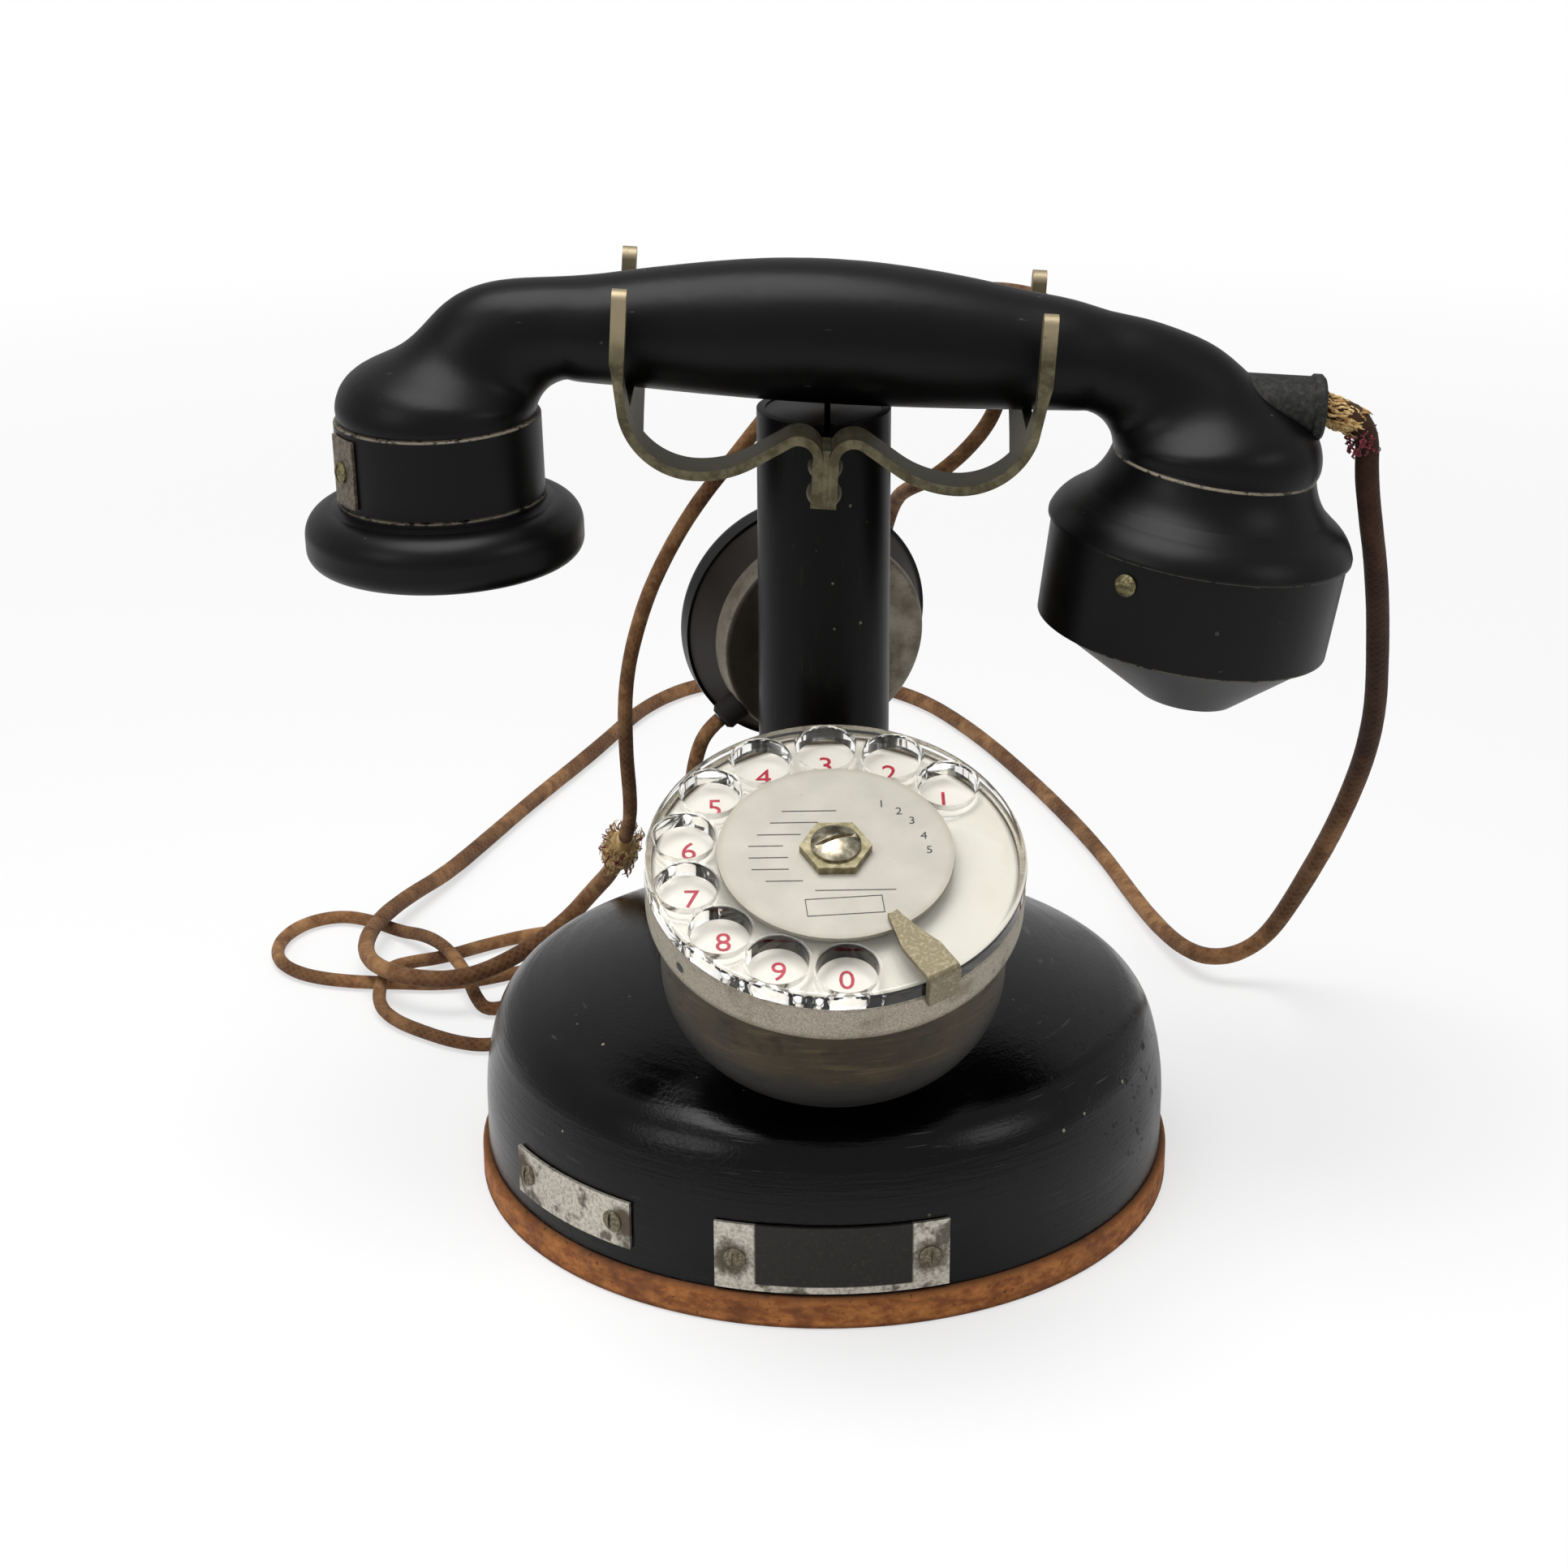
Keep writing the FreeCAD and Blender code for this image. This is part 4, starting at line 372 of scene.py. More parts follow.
# Column: a steel tube in dark lacquer, held to the dome by a hexagonal nut. The
# plunger slides in it on a brass bush, pushed up by a spring.
column = Finish("column_metal", specular=0.12)
haze = column.noise(12, stretch=(1, 1, 4), detail=4)
rubs = column.noise(0.8, stretch=(1, 1, 14), detail=3, shift=2.4).step(0.62, 0.72)
nicks = column.cells(6, shift=1.7).step(0.08, 0.05) * haze.step(0.5, 0.6)
colour = column.mix(haze, tone("030303"), tone("070605"))
colour = column.mix(rubs * 0.2, colour, tone("3b3833"))
column.set("Base Color", column.mix(nicks, colour, tone("6d675a")))
column.set("Roughness", 0.26 + haze * 0.18 + rubs * 0.15)
column.bumps(column.noise(1.4, detail=4) * 0.5 + rubs * 0.3, 0.06, 0.5)
dress(column, "column_tube", "column_nut")

# Inner works: brass plates, gear and bush, pieces of hard fibre, a coil of enamelled
# wire, and the iron magnet of the receiver. The terminal at the end of the line cord is
# of the same brass.
clouded("inner_brass", dict(size=3, detail=4), ("8c7440", "b39a5c"), (0.3, 0.2),
        ("plunger_bush", "dial_shaft", "mechanism_plate", "bridge_plate", "main_gear",
         "governor", "transmitter_capsule", "line_lug"), metallic=1.0)
clouded("fibre", dict(size=1.2, stretch=(4, 1, 1), detail=4), ("4a2f1d", "6f4a30"),
        (0.65, 0.15), ("pulse_cam", "terminal_block"), specular=0.3)

winding = Finish("winding", specular=0.5, Coat_Weight=0.4)
turns = winding.along((0, 0, 0), (0, 1, 0)).maths("SINE")
winding.set("Base Color", winding.mix(turns.step(-1, 1), tone("5a2c18"), tone("86482a")))
winding.bumps(turns, 0.1)
dress(winding, "induction_coil")

clouded("iron", dict(size=1.5, detail=5), ("2c2a26", "46423a"), (0.55, 0.2),
        ("receiver_magnet",), metallic=0.7)

# Dial: a spun cup in brown black lacquer on a short collar, closed by a cast band of
# nickelled zinc. The white plate under the finger wheel carries red digits.
DIAL_FOOT = Vector((0, -63.55, 98.3))
DIAL_TILT = math.radians(22.14)
DIAL_WAY = Vector((0, -math.sin(DIAL_TILT), math.cos(DIAL_TILT)))
DIAL = Matrix.Translation(DIAL_FOOT / 1000) @ Matrix.Rotation(DIAL_TILT, 4, "X")
CUP_FOOT_SHADOW, PLATE_RIM = (-15, -22), (39.6, 40.8)

cup = Finish("cup_lacquer", metallic=0.15, specular=0.25)
height = cup.along(DIAL_FOOT, DIAL_WAY)
brushed = cup.noise(1.6, stretch=(9, 9, 1), detail=4, rough=0.6)
cloud = cup.noise(11, detail=4, shift=6.0)
smears = cup.noise(4.5, stretch=(2, 2, 1), detail=4, shift=2.8).step(0.55, 0.72)
colour = cup.mix(cloud.step(0.3, 0.7), tone("282010"), tone("3c301a"))
colour = cup.mix(brushed.step(0.5, 0.75) * 0.6, colour, tone("5a4b33"))
colour = cup.mix(smears * 0.5, colour, tone("1b1812"))
# Painted shadow: the foot of the cup, where it meets the dome, is painted near black.
colour = cup.mix(height.step(*CUP_FOOT_SHADOW), colour, tone("100e0b"))
cup.set("Base Color", colour)
cup.set("Roughness", 0.42 + cloud * 0.15 + smears * 0.15)
cup.bumps(brushed * 0.6 + smears * 0.3, 0.06, 0.5)
dress(cup, "dial_cup", "dial_collar")

nickel = Finish("worn_nickel", metallic=0.9)
speckle = nickel.noise(0.45, detail=4, rough=0.7)
cloud = nickel.noise(7, detail=4, shift=3.7)
dents = nickel.cells(15, shift=0.6).step(0.11, 0.07)
edge = nickel.along(DIAL_FOOT, DIAL_WAY)
colour = nickel.mix(speckle.step(0.3, 0.7), tone("827a6c"), tone("b5ad9e"))
colour = nickel.mix(cloud.step(0.5, 0.75) * 0.6, colour, tone("6e6350"))
colour = nickel.mix(edge.step(2.2, 0.6) * edge.step(-1, 0) * 0.5, colour, tone("5a4f3c"))
nickel.set("Base Color", nickel.mix(dents, colour, tone("14110d")))
nickel.set("Metallic", 0.85 - dents * 0.8)
nickel.set("Roughness", 0.36 + speckle * 0.22 + cloud * 0.12)
nickel.bumps(speckle * 0.4 - dents * 2 + cloud * 0.3, 0.10, 0.5)
dress(nickel, "dial_band")

enamel = Finish("enamel", roughness=0.3)
age = enamel.noise(10, detail=5, shift=1.0)
out = enamel.off_axis(DIAL_FOOT, DIAL_WAY)
colour = enamel.mix(age, tone("e9e6de"), tone("d8d2c4"))
enamel.set("Base Color", enamel.mix(out.step(*PLATE_RIM) * 0.7, colour, tone("54493a")))
dress(enamel, "number_plate")

PLATE_TOP, PRINT_RISE = 8.9, 0.05
DIGIT_CIRCLE, DIGIT_HIGH = 33.2, 7.6
HOLE_FIRST, HOLE_PITCH = 40, 25.8


def lettering(name, text, high, place, finish, body, thick=0.04):
    """Printed characters as thin raised solids."""
    words = bpy.data.curves.new(name, "FONT")
    words.body, words.size, words.extrude = text, high / 1000, thick / 1000
    words.align_x, words.align_y, words.resolution_u = "CENTER", "CENTER", 3
    draft = bpy.data.objects.new(name + "_draft", words)
    printed = bpy.data.objects.new(name, bpy.data.meshes.new_from_object(draft))
    bpy.data.objects.remove(draft)
    printed.data.transform(place)
    printed.data.materials.append(finish.material)
    scene.collection.objects.link(printed)
    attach(printed, body)


red_print = Finish("red_print", roughness=0.35)
fade = red_print.noise(1.1, detail=3)
red_print.set("Base Color", red_print.mix(fade.step(0.4, 0.7), tone("a3122c"), tone("c0304a")))
for count in range(10):
    digit = (count + 1) % 10
    spoke = math.radians(HOLE_FIRST + HOLE_PITCH * count)
    spot = Matrix.Translation((DIGIT_CIRCLE * math.cos(spoke) / 1000,
                               DIGIT_CIRCLE * math.sin(spoke) / 1000,
                               (PLATE_TOP + PRINT_RISE) / 1000))
    lettering(f"digit_{digit}", str(digit), DIGIT_HIGH, DIAL @ spot, red_print, "base")

# Finger wheel: clear acrylic that turns with the paper label, a hexagonal washer and
# the slotted screw in its middle. The finger stop is bent strip, dulled with age.
acrylic = Finish("clear_plastic", roughness=0.03, Transmission_Weight=1.0, IOR=1.45)
acrylic.set("Base Color", (0.985, 0.985, 0.97))
acrylic.bumps(acrylic.noise(9, detail=2), 0.08, 0.25)
dress(acrylic, "finger_wheel")

LABEL_RIM = (24.6, 26.2)
label = Finish("paper", metallic=0.35, specular=0.4)
age = label.noise(8, detail=4, shift=2.0)
foxing = label.noise(1.6, detail=5, rough=0.7).step(0.62, 0.75)
out = label.off_axis(DIAL_FOOT, DIAL_WAY)
colour = label.mix(age, tone("bcb8ad"), tone("a5a196"))
colour = label.mix(foxing * 0.35, colour, tone("8b8270"))
label.set("Base Color", label.mix(out.step(*LABEL_RIM) * 0.35, colour, tone("968d7b")))
label.set("Roughness", 0.45 + age * 0.15)
dress(label, "label_disc")

LABEL_TOP, INK_RISE, INK_THICK = 14.97, 0.03, 0.05
LABEL_NUMBER_HIGH, NUMBER_THICK = 3.2, 0.02
RULE_WIDE, BOX_RULE_WIDE, RULE_DROP = 0.22, 0.2, 0.9
ink = Finish("black_print", roughness=0.5)
thin = ink.noise(0.7, detail=3).step(0.4, 0.8)
ink.set("Base Color", ink.mix(thin, tone("2a2a2a"), tone("55534e")))


def on_label(x, y):
    return DIAL @ Matrix.Translation((x / 1000, y / 1000, (LABEL_TOP + INK_RISE) / 1000))


def piece_of(name, mesh, finish):
    """A piece from a mesh that is done, in one finish."""
    data = bpy.data.meshes.new(name)
    mesh.to_mesh(data)
    mesh.free()
    data.materials.append(finish.material)
    piece = bpy.data.objects.new(name, data)
    scene.collection.objects.link(piece)
    return piece


def ruled(name, corners, wide):
    """Thin printed lines between corners on the label."""
    mesh = bmesh.new()
    for start, end in zip(corners, corners[1:]):
        start, end = Vector(start).to_3d(), Vector(end).to_3d()
        way = (end - start).normalized()
        half = Vector((-way.y, way.x, 0)) * wide / 2
        reach = way * wide / 2
        foot = [start - reach - half, end + reach - half, end + reach + half, start - reach + half]
        low = [mesh.verts.new(point) for point in foot]
        high = [mesh.verts.new(point + Vector((0, 0, INK_THICK))) for point in foot]
        mesh.faces.new(low[::-1])
        mesh.faces.new(high)
        for side in range(4):
            mesh.faces.new((low[side], low[(side + 1) % 4], high[(side + 1) % 4], high[side]))
    bmesh.ops.transform(mesh, matrix=Matrix.Scale(0.001, 4), verts=mesh.verts)
    bmesh.ops.transform(mesh, matrix=on_label(0, 0), verts=mesh.verts)
    lines = piece_of(name, mesh, ink)
    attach(lines, "finger_wheel_body")


LABEL_LINES = ((-11.5, 13.6, 12), (-14.2, 10.0, 10.5), (-17.2, 6.3, 9.5), (-19.2, 2.8, 7.5),
               (-19.2, -0.8, 8.5), (-18.6, -4.4, 8), (-15.6, -8.0, 8), (-4.8, -11.0, 17.5))
LABEL_BOX = ((-7.2, -14.6), (9.6, -13.6), (10, -18.6), (-6.8, -19.6), (-7.2, -14.6))
LABEL_NUMBERS = ((10.8, 14.6), (14.6, 12.2), (17.4, 9.2), (19.8, 4.4), (20.8, 0))
for number, (left, middle, long) in enumerate(LABEL_LINES):
    foot = middle - RULE_DROP
    ruled(f"label_rule_{number}", ((left, foot), (left + long, foot)), RULE_WIDE)
ruled("label_box", LABEL_BOX, BOX_RULE_WIDE)
for number, (x, y) in enumerate(LABEL_NUMBERS):
    lettering(f"label_number_{number}", str(number + 1), LABEL_NUMBER_HIGH, on_label(x, y), ink,
              "finger_wheel_body", NUMBER_THICK)

clouded("bright_nickel", dict(size=1.4, detail=4), ("8f8672", "c2baa6"), (0.22, 0.2),
        ("dial_centre_screw",), change=(0.35, 0.7), bumps=(0.04, 0.4), metallic=1.0)
clouded("washer_brass", dict(size=1.8, detail=4), ("7a7255", "a59c80"), (0.32, 0.2),
        ("hex_washer",), change=(0.35, 0.7), bumps=(0.05, 0.4), metallic=0.85)
clouded("stop_metal", dict(size=0.8, detail=4, rough=0.6), ("756c56", "958c74"), (0.32, 0.25),
        ("finger_stop",), change=(0.45, 0.7), bumps=(0.05, 0.5), metallic=0.8)

# Fork: two bent brass straps riveted to a blade, each ending in a pair of prongs. The
# nickel has gone, and the brass is olive and darker on top. A painted highlight lights the tips.
TIPS_PAINTED_HIGHLIGHT = (210, 219)
fork = Finish("fork_brass", metallic=0.8)
tarnish = fork.noise(3.2, detail=5, rough=0.65)
pits = fork.noise(0.9, detail=4, rough=0.7, shift=4.0).step(0.62, 0.70)
height = fork.along((0, 0, 0), (0, 0, 1))
facing_up = fork.node("ShaderNodeNewGeometry", {}, {}, "Normal")
upward = fork.vector("DOT_PRODUCT", facing_up, (0, 0, 1), "Value")
colour = fork.mix(tarnish.step(0.35, 0.68), tone("48422f"), tone("6d6650"))
colour = fork.mix(upward.step(0.25, 0.8) * 0.75, colour, tone("28251a"))
# Painted highlight: the tips of the prongs are lightened.
colour = fork.mix(height.step(*TIPS_PAINTED_HIGHLIGHT) * 0.75, colour, tone("a8997c"))
colour = fork.mix(pits * 0.7, colour, tone("2c2417"))
fork.set("Base Color", colour)
fork.set("Metallic", 0.75 - pits * 0.6)
fork.set("Roughness", 0.36 + tarnish * 0.25)
fork.bumps(tarnish * 0.4 - pits * 0.8, 0.08, 0.5)
dress(fork, "fork_right", "fork_left", "fork_blade", "fork_rivets")

# Handset: moulded black ebonite over a brass frame, with a receiver at one end and a
# transmitter at the other. The rims of its threaded parts are rubbed to light brown.
FORK_TURN = (Matrix.Translation((1.2, 0, 200)) @ Matrix.Rotation(math.radians(-2.2), 4, "Z")
             @ Matrix.Rotation(math.radians(3.5), 4, "Y"))
RECEIVER = (FORK_TURN @ Matrix.Translation((-90.2, 0, -13))
            @ Matrix.Rotation(math.radians(-4.7), 4, "Y"))
TRANSMITTER = (FORK_TURN @ Matrix.Translation((90.6, 0, -13.4))
               @ Matrix.Rotation(math.radians(4.8), 4, "Y"))
ENDS_FROM, ENDS_SOFT = 60, 4
EAR_SEAMS = ((0, 0.4, 0.6), (-19, 0.5, 0.5))
MOUTH_SEAMS = ((0, 0.45, 0.8), (-18, 0.35, 0.15), (-41.6, 0.4, 0.35))


def axis_of(place):
    return place.to_translation(), place.col[2].to_3d()


ebonite = Finish("ebonite", specular=0.18)
left_end = ebonite.along((-ENDS_FROM, 0, 0), (-1, 0, 0)).step(0, ENDS_SOFT)
right_end = ebonite.along((ENDS_FROM, 0, 0), (1, 0, 0)).step(0, ENDS_SOFT)
mould = ebonite.noise(26, detail=3, shift=1.0)
fine = ebonite.noise(0.7, detail=4, rough=0.6)
patchy = ebonite.noise(1.8, detail=4, rough=0.65, shift=5.0)
seams = None
for end_place, end, places in ((RECEIVER, left_end, EAR_SEAMS),
                               (TRANSMITTER, right_end, MOUTH_SEAMS)):
    height = ebonite.along(*axis_of(end_place))
    for at, width, worn in places:
        line = height.near(at, width) * end * worn
        seams = line if seams is None else seams.maths("MAXIMUM", line)
seams = seams * patchy.step(0.38, 0.50)
scratches = (ebonite.noise(0.35, stretch=(20, 5, 3), detail=2, shift=8.8).step(0.735, 0.76)
             * ebonite.noise(14, detail=1, shift=2.2).step(0.52, 0.62))
nicks = ebonite.cells(17, shift=7.3).step(0.04, 0.025)
browned = ebonite.noise(19, detail=3, shift=12.0).step(0.55, 0.8)
colour = ebonite.mix(mould, tone("020202"), tone("050506"))
colour = ebonite.mix(browned * 0.5, colour, tone("0b0806"))
colour = ebonite.mix(scratches * 0.6, colour, tone("4b4944"))
colour = ebonite.mix(nicks * 0.6, colour, tone("4a4743"))
ebonite.set("Base Color", ebonite.mix(seams * 0.85, colour, tone("9a8f7e")))
ebonite.set("Roughness", 0.28 + mould * 0.14 + fine * 0.06 + seams * 0.2)
ebonite.bumps(fine * 0.35 + mould * 0.8 - scratches * 0.4 - nicks * 0.8, 0.06, 0.5)
dress(ebonite, "plunger", "handset_handle", "receiver_band", "ear_cap",
      "transmitter_bell", "transmitter_band", "mouthpiece", "aux_ear_cap")

clouded("lock_metal", dict(size=1.4, detail=5, rough=0.7), ("7a6f60", "433b32"), (0.45, 0.2),
        ("lock_plate",), change=(0.35, 0.7), bumps=(0.08, 0.5), metallic=0.5)
clouded("screw_yellow", dict(size=0.6, detail=4, rough=0.7), ("8f8763", "4a432c"), (0.4, 0.25),
        ("handset_screws",), change=(0.35, 0.65), bumps=(0.04, 0.4), metallic=0.7)
clouded("ferrule_gum", dict(size=1.3, detail=5, rough=0.7), ("141414", "353431"), (0.5, 0.2),
        ("cord_ferrule",), change=(0.4, 0.7), bumps=(0.12, 0.7), specular=0.25)

# Second receiver: a pressed metal shell with a brown housing and an ebonite cap, hung
# by a ring from a hook at the back of the column.
SHELL_SPLIT = (-14, 0, 0)
SHELL_BACK, SHELL_WAY = (1.2, 22, 128.7), (0.307, -0.95, -0.05)
shell = Finish("aux_metal", metallic=0.7)
cloud = shell.noise(7, detail=5, rough=0.6)
flecks = shell.noise(0.8, detail=4, shift=2.0)
colour = shell.mix(cloud.step(0.35, 0.7), tone("8f887a"), tone("6a6253"))
colour = shell.mix(flecks.step(0.58, 0.72) * 0.5, colour, tone("4c4436"))
left_half = shell.along(SHELL_SPLIT, (-1, 0, 0)).step(-3, 3)
back_face = shell.along(SHELL_BACK, SHELL_WAY).step(-0.6, -0.2)
shell.set("Base Color", shell.mix(left_half * back_face * 0.85, colour, tone("2b2118")))
shell.set("Metallic", 0.7 - left_half * 0.3)
shell.set("Roughness", 0.42 + cloud * 0.2)
shell.bumps(cloud * 0.4 + flecks * 0.3, 0.08, 0.5)
dress(shell, "aux_case")

clouded("aux_brown", dict(size=6, detail=4), ("17120e", "2a2019"), (0.4, 0.2),
        ("aux_housing",), bumps=(0.06, 0.4), specular=0.35)

# Cords: twisted wires under a brown cotton braid, pale in patches and dark with grease
# in others. The handset's cord is thick as far as the bound joint at the left of the
# base, where it parts into thinner ones, and it is darkest next to the handset.
TURN = 2 * math.pi
STRAND_LONG, STRANDS = 2.4, 6
HANDSET_CORD, THIN_CORD = 0.0047, 0.0037
CORD_STEP, CORD_SIDES, CORD_SWELL = 0.0014, 16, 0.03
SLEEVE_EXTRA, SLEEVE_FADE = 0.2, 0.05
SLEEVE_RIGHT, SLEEVE_LOW = (112, 0, 0), (0, 0, 75)

braid = Finish("brown_braid", specular=0.15, Sheen_Weight=0.08, Sheen_Roughness=0.5)
where = braid.node("ShaderNodeUVMap", {"uv_map": "wrap"}, {}, "UV")
lengthwise = braid.node("ShaderNodeSeparateXYZ", {}, {0: where}, "X")
around = braid.node("ShaderNodeSeparateXYZ", {}, {0: where}, "Y")
rightward = lengthwise * (TURN / STRAND_LONG) + around * (TURN * STRANDS)
leftward = lengthwise * (TURN / STRAND_LONG) - around * (TURN * STRANDS)
strands = rightward.maths("SINE").maths("MAXIMUM", leftward.maths("SINE"))
mottle = braid.noise(4.5, detail=4, rough=0.6)
fuzz = braid.noise(0.5, detail=4, rough=0.7)
grease = braid.noise(38, detail=3, shift=3.0)
colour = braid.mix(mottle.step(0.3, 0.7), tone("6f4b30"), tone("a57c54"))
colour = braid.mix(grease.step(0.40, 0.62) * 0.75, colour, tone("3f2619"))
colour = braid.mix(strands.step(0.2, 0.9) * 0.15, colour, tone("a67a50"))
colour = braid.mix(fuzz.step(0.55, 0.75) * 0.4, colour, tone("26170f"))
thick_part = (braid.along(SLEEVE_RIGHT, (1, 0, 0)).step(-3, 3)
              * braid.along(SLEEVE_LOW, (0, 0, 1)).step(-20, 20))
colour = braid.mix(thick_part * 0.88, colour, tone("26120b"))
braid.set("Base Color", colour)
braid.set("Roughness", 0.78 + fuzz * 0.15)
braid.bumps(strands * 0.35 + fuzz * 0.8 + mottle * 0.6, 0.22, 0.8)


def cord_line(name, route):
    """The middle line of a cord: a smooth spline drawn along its route."""
    curve = bpy.data.curves.new(name + "_line", "CURVE")
    curve.dimensions, curve.resolution_u = "3D", 8
    spline = curve.splines.new("NURBS")
    spline.points.add(len(route) - 1)
    for point, spot in zip(spline.points, route):
        point.co = (*[value / 1000 for value in spot], 1)
    spline.order_u, spline.use_endpoint_u = 3, True
    holder = bpy.data.objects.new(name + "_line", curve)
    drawn = bpy.data.meshes.new_from_object(holder)
    line = [vertex.co.copy() for vertex in drawn.vertices]
    bpy.data.objects.remove(holder)
    return line


def even(line, step):
    """The same line with points a step apart."""
    total = sum((b - a).length for a, b in zip(line, line[1:]))
    count = max(2, round(total / step))
    gap = total / count
    spots, carried = [line[0]], 0.0
    for a, b in zip(line, line[1:]):
        run = (b - a).length
        while carried + run >= gap * len(spots) and len(spots) < count:
            spots.append(a.lerp(b, (gap * len(spots) - carried) / run))
        carried += run
    return spots + [line[-1]], total


def heading(spots, index):
    return (spots[min(index + 1, len(spots) - 1)] - spots[max(index - 1, 0)]).normalized()


def ring_round(mesh, spot, side, other, reach, sides):
    """Vertices in a circle round a spot, in the plane of two ways."""
    return [mesh.verts.new(spot + (side * math.cos(turn * TURN / sides)
                                   + other * math.sin(turn * TURN / sides)) * reach)
            for turn in range(sides)]


def skinned(mesh, rings):
    """Smooth faces from ring to ring, and a flat face on each end."""
    faces = []
    for one, two in zip(rings, rings[1:]):
        for turn in range(len(one)):
            after = (turn + 1) % len(one)
            faces.append(mesh.faces.new((one[turn], one[after], two[after], two[turn])))
            faces[-1].smooth = True
    mesh.faces.new(rings[0][::-1])
    mesh.faces.new(rings[-1])
    return faces


def braided(name, route, across, seed, sleeve=0.0, rides=True):
    """A cord as a tube round its spline, uneven in thickness, and thicker in its sleeve."""
    chance = random.Random(seed)
    spots, total = even(cord_line(name, route), CORD_STEP)
    mesh = bmesh.new()
    wrap = mesh.loops.layers.uv.new("wrap")
    side = (spots[1] - spots[0]).normalized().orthogonal().normalized()
    rings, lump = [], 0.0
    for index, spot in enumerate(spots):
        ahead = heading(spots, index)
        side = (side - ahead * side.dot(ahead)).normalized()
        lump = lump * 0.9 + chance.uniform(-1, 1) * 0.3
        beyond = (index * total / len(spots) - sleeve) / SLEEVE_FADE
        fuller = SLEEVE_EXTRA * (1 - min(1, max(0, beyond))) if sleeve else 0
        reach = across / 2 * (1 + fuller + CORD_SWELL * max(-1, min(1, lump)))
        rings.append(ring_round(mesh, spot, side, ahead.cross(side), reach, CORD_SIDES))
    step = total * 1000 / (len(spots) - 1)
    for count, face in enumerate(skinned(mesh, rings)):
        index, turn = divmod(count, CORD_SIDES)
        corners = ((index, turn), (index, turn + 1), (index + 1, turn + 1), (index + 1, turn))
        for loop, (far, round_it) in zip(face.loops, corners):
            loop[wrap].uv = (far * step, round_it / CORD_SIDES)
    cord = piece_of(name, mesh, braid)
    if rides:
        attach(cord, "base")
    print(f"{name}: {total * 1000:.0f} mm")
    return cord


HANDSET_ROUTE = [
    (115.28, -4.38, 193.72), (121.5, -4.6, 193.3), (126, -4.9, 187.5), (126.2, -4.6, 178),
    (128.6, -1, 166), (132.6, 7, 150.5), (137, 20, 130), (142.5, 41, 96), (139.5, 61, 63),
    (132, 79, 32), (126.5, 88.5, 15.5), (119, 91, 9), (111, 92.5, 7.6), (105.8, 102, 6.2),
    (102, 117, 4.6), (98, 141, 2.6), (91, 182, 2.6), (78, 231, 2.4), (61, 282, 2.4),
    (42, 319, 2.4), (10, 338, 2.4), (-27, 334, 2.4), (-49, 312, 2.4), (-64, 272, 2.4),
    (-84.5, 226, 2.4), (-96.7, 195.7, 2.5), (-107.2, 168.1, 3.4), (-117.5, 145.2, 6),
    (-124.2, 125, 7.6), (-126.1, 109.3, 8.2), (-123.6, 95.9, 9.1), (-117, 86.6, 9.9),
    (-107.6, 81.2, 10.2), (-98.5, 79.6, 10.8), (-89.7, 82.4, 11.9), (-78.9, 89.6, 14.6),
    (-68, 94.6, 21), (-59.9, 90, 32.5), (-54.6, 80.4, 42.2), (-53.2, 75.2, 47.6)]
JOINT_LONG, JOINT_STRAIGHT = 16, 6
joint_foot = Vector(HANDSET_ROUTE[-1])
joint_way = (joint_foot - Vector(HANDSET_ROUTE[-2])).normalized()
joint_top = joint_foot + joint_way * JOINT_LONG
BRANCH_ROUTE = [
    tuple(joint_top), tuple(joint_top + joint_way * JOINT_STRAIGHT), (-48.2, 52, 74),
    (-49, 43.5, 92), (-48.6, 37, 114), (-43.5, 32.5, 135), (-37, 30, 150), (-29.5, 28, 163),
    (-21, 26.6, 174),
    (-11, 26.6, 187), (3, 29, 201), (17, 30.5, 209.5), (31, 30, 213.6), (43.5, 29, 214.6),
    (55, 26.6, 212.4), (56, 14.2, 206.6), (45.8, 13.9, 202.4), (43, 16.8, 194),
    (40.6, 19.4, 184.8), (34.4, 22, 176), (27, 26.5, 168.3), (22.6, 38, 162.8),
    (20, 53, 155.5), (17.6, 65, 142), (16, 74, 120), (16.6, 83, 97), (19.4, 94, 72),
    (22.8, 103, 48), (24.2, 104.8, 32), (22.37, 96.9, 14), (17.9, 77.5, 14)]
AUX_ROUTE = [
    (-24.87, 18.29, 110.05), (-28.4, 17.3, 107.4), (-31, 17.6, 100.5), (-32.6, 24, 88),
    (-34, 38, 76), (-36, 56, 66.5), (-38.5, 74, 51), (-42, 88, 31), (-48.5, 98, 14.5),
    (-58, 104, 5.2), (-71, 105, 2.3), (-83, 102, 1.9), (-94, 96.6, 1.9), (-104.5, 95, 1.9),
    (-115, 96.2, 1.9), (-126, 97, 1.9), (-137, 99.6, 1.9), (-145, 104, 1.9),
    (-150.6, 111, 1.9), (-152.6, 120, 1.9), (-150.8, 130, 1.9), (-145, 138.5, 1.9),
    (-136, 142.2, 1.9), (-127, 138.5, 1.9), (-118, 130.5, 1.9), (-111, 122, 4.8),
    (-105, 112.6, 6.5), (-100, 102.5, 6.4), (-96, 93, 5.2), (-93.4, 84, 3.2), (-90, 77.5, 2),
    (-83, 81, 1.9), (-75, 91, 1.9), (-62, 100, 1.9), (-46, 106.5, 1.9), (-29, 110, 2.2),
    (-13, 109, 5), (-2.5, 103.5, 10.4), (0, 96, 14), (0, 79.4, 14)]
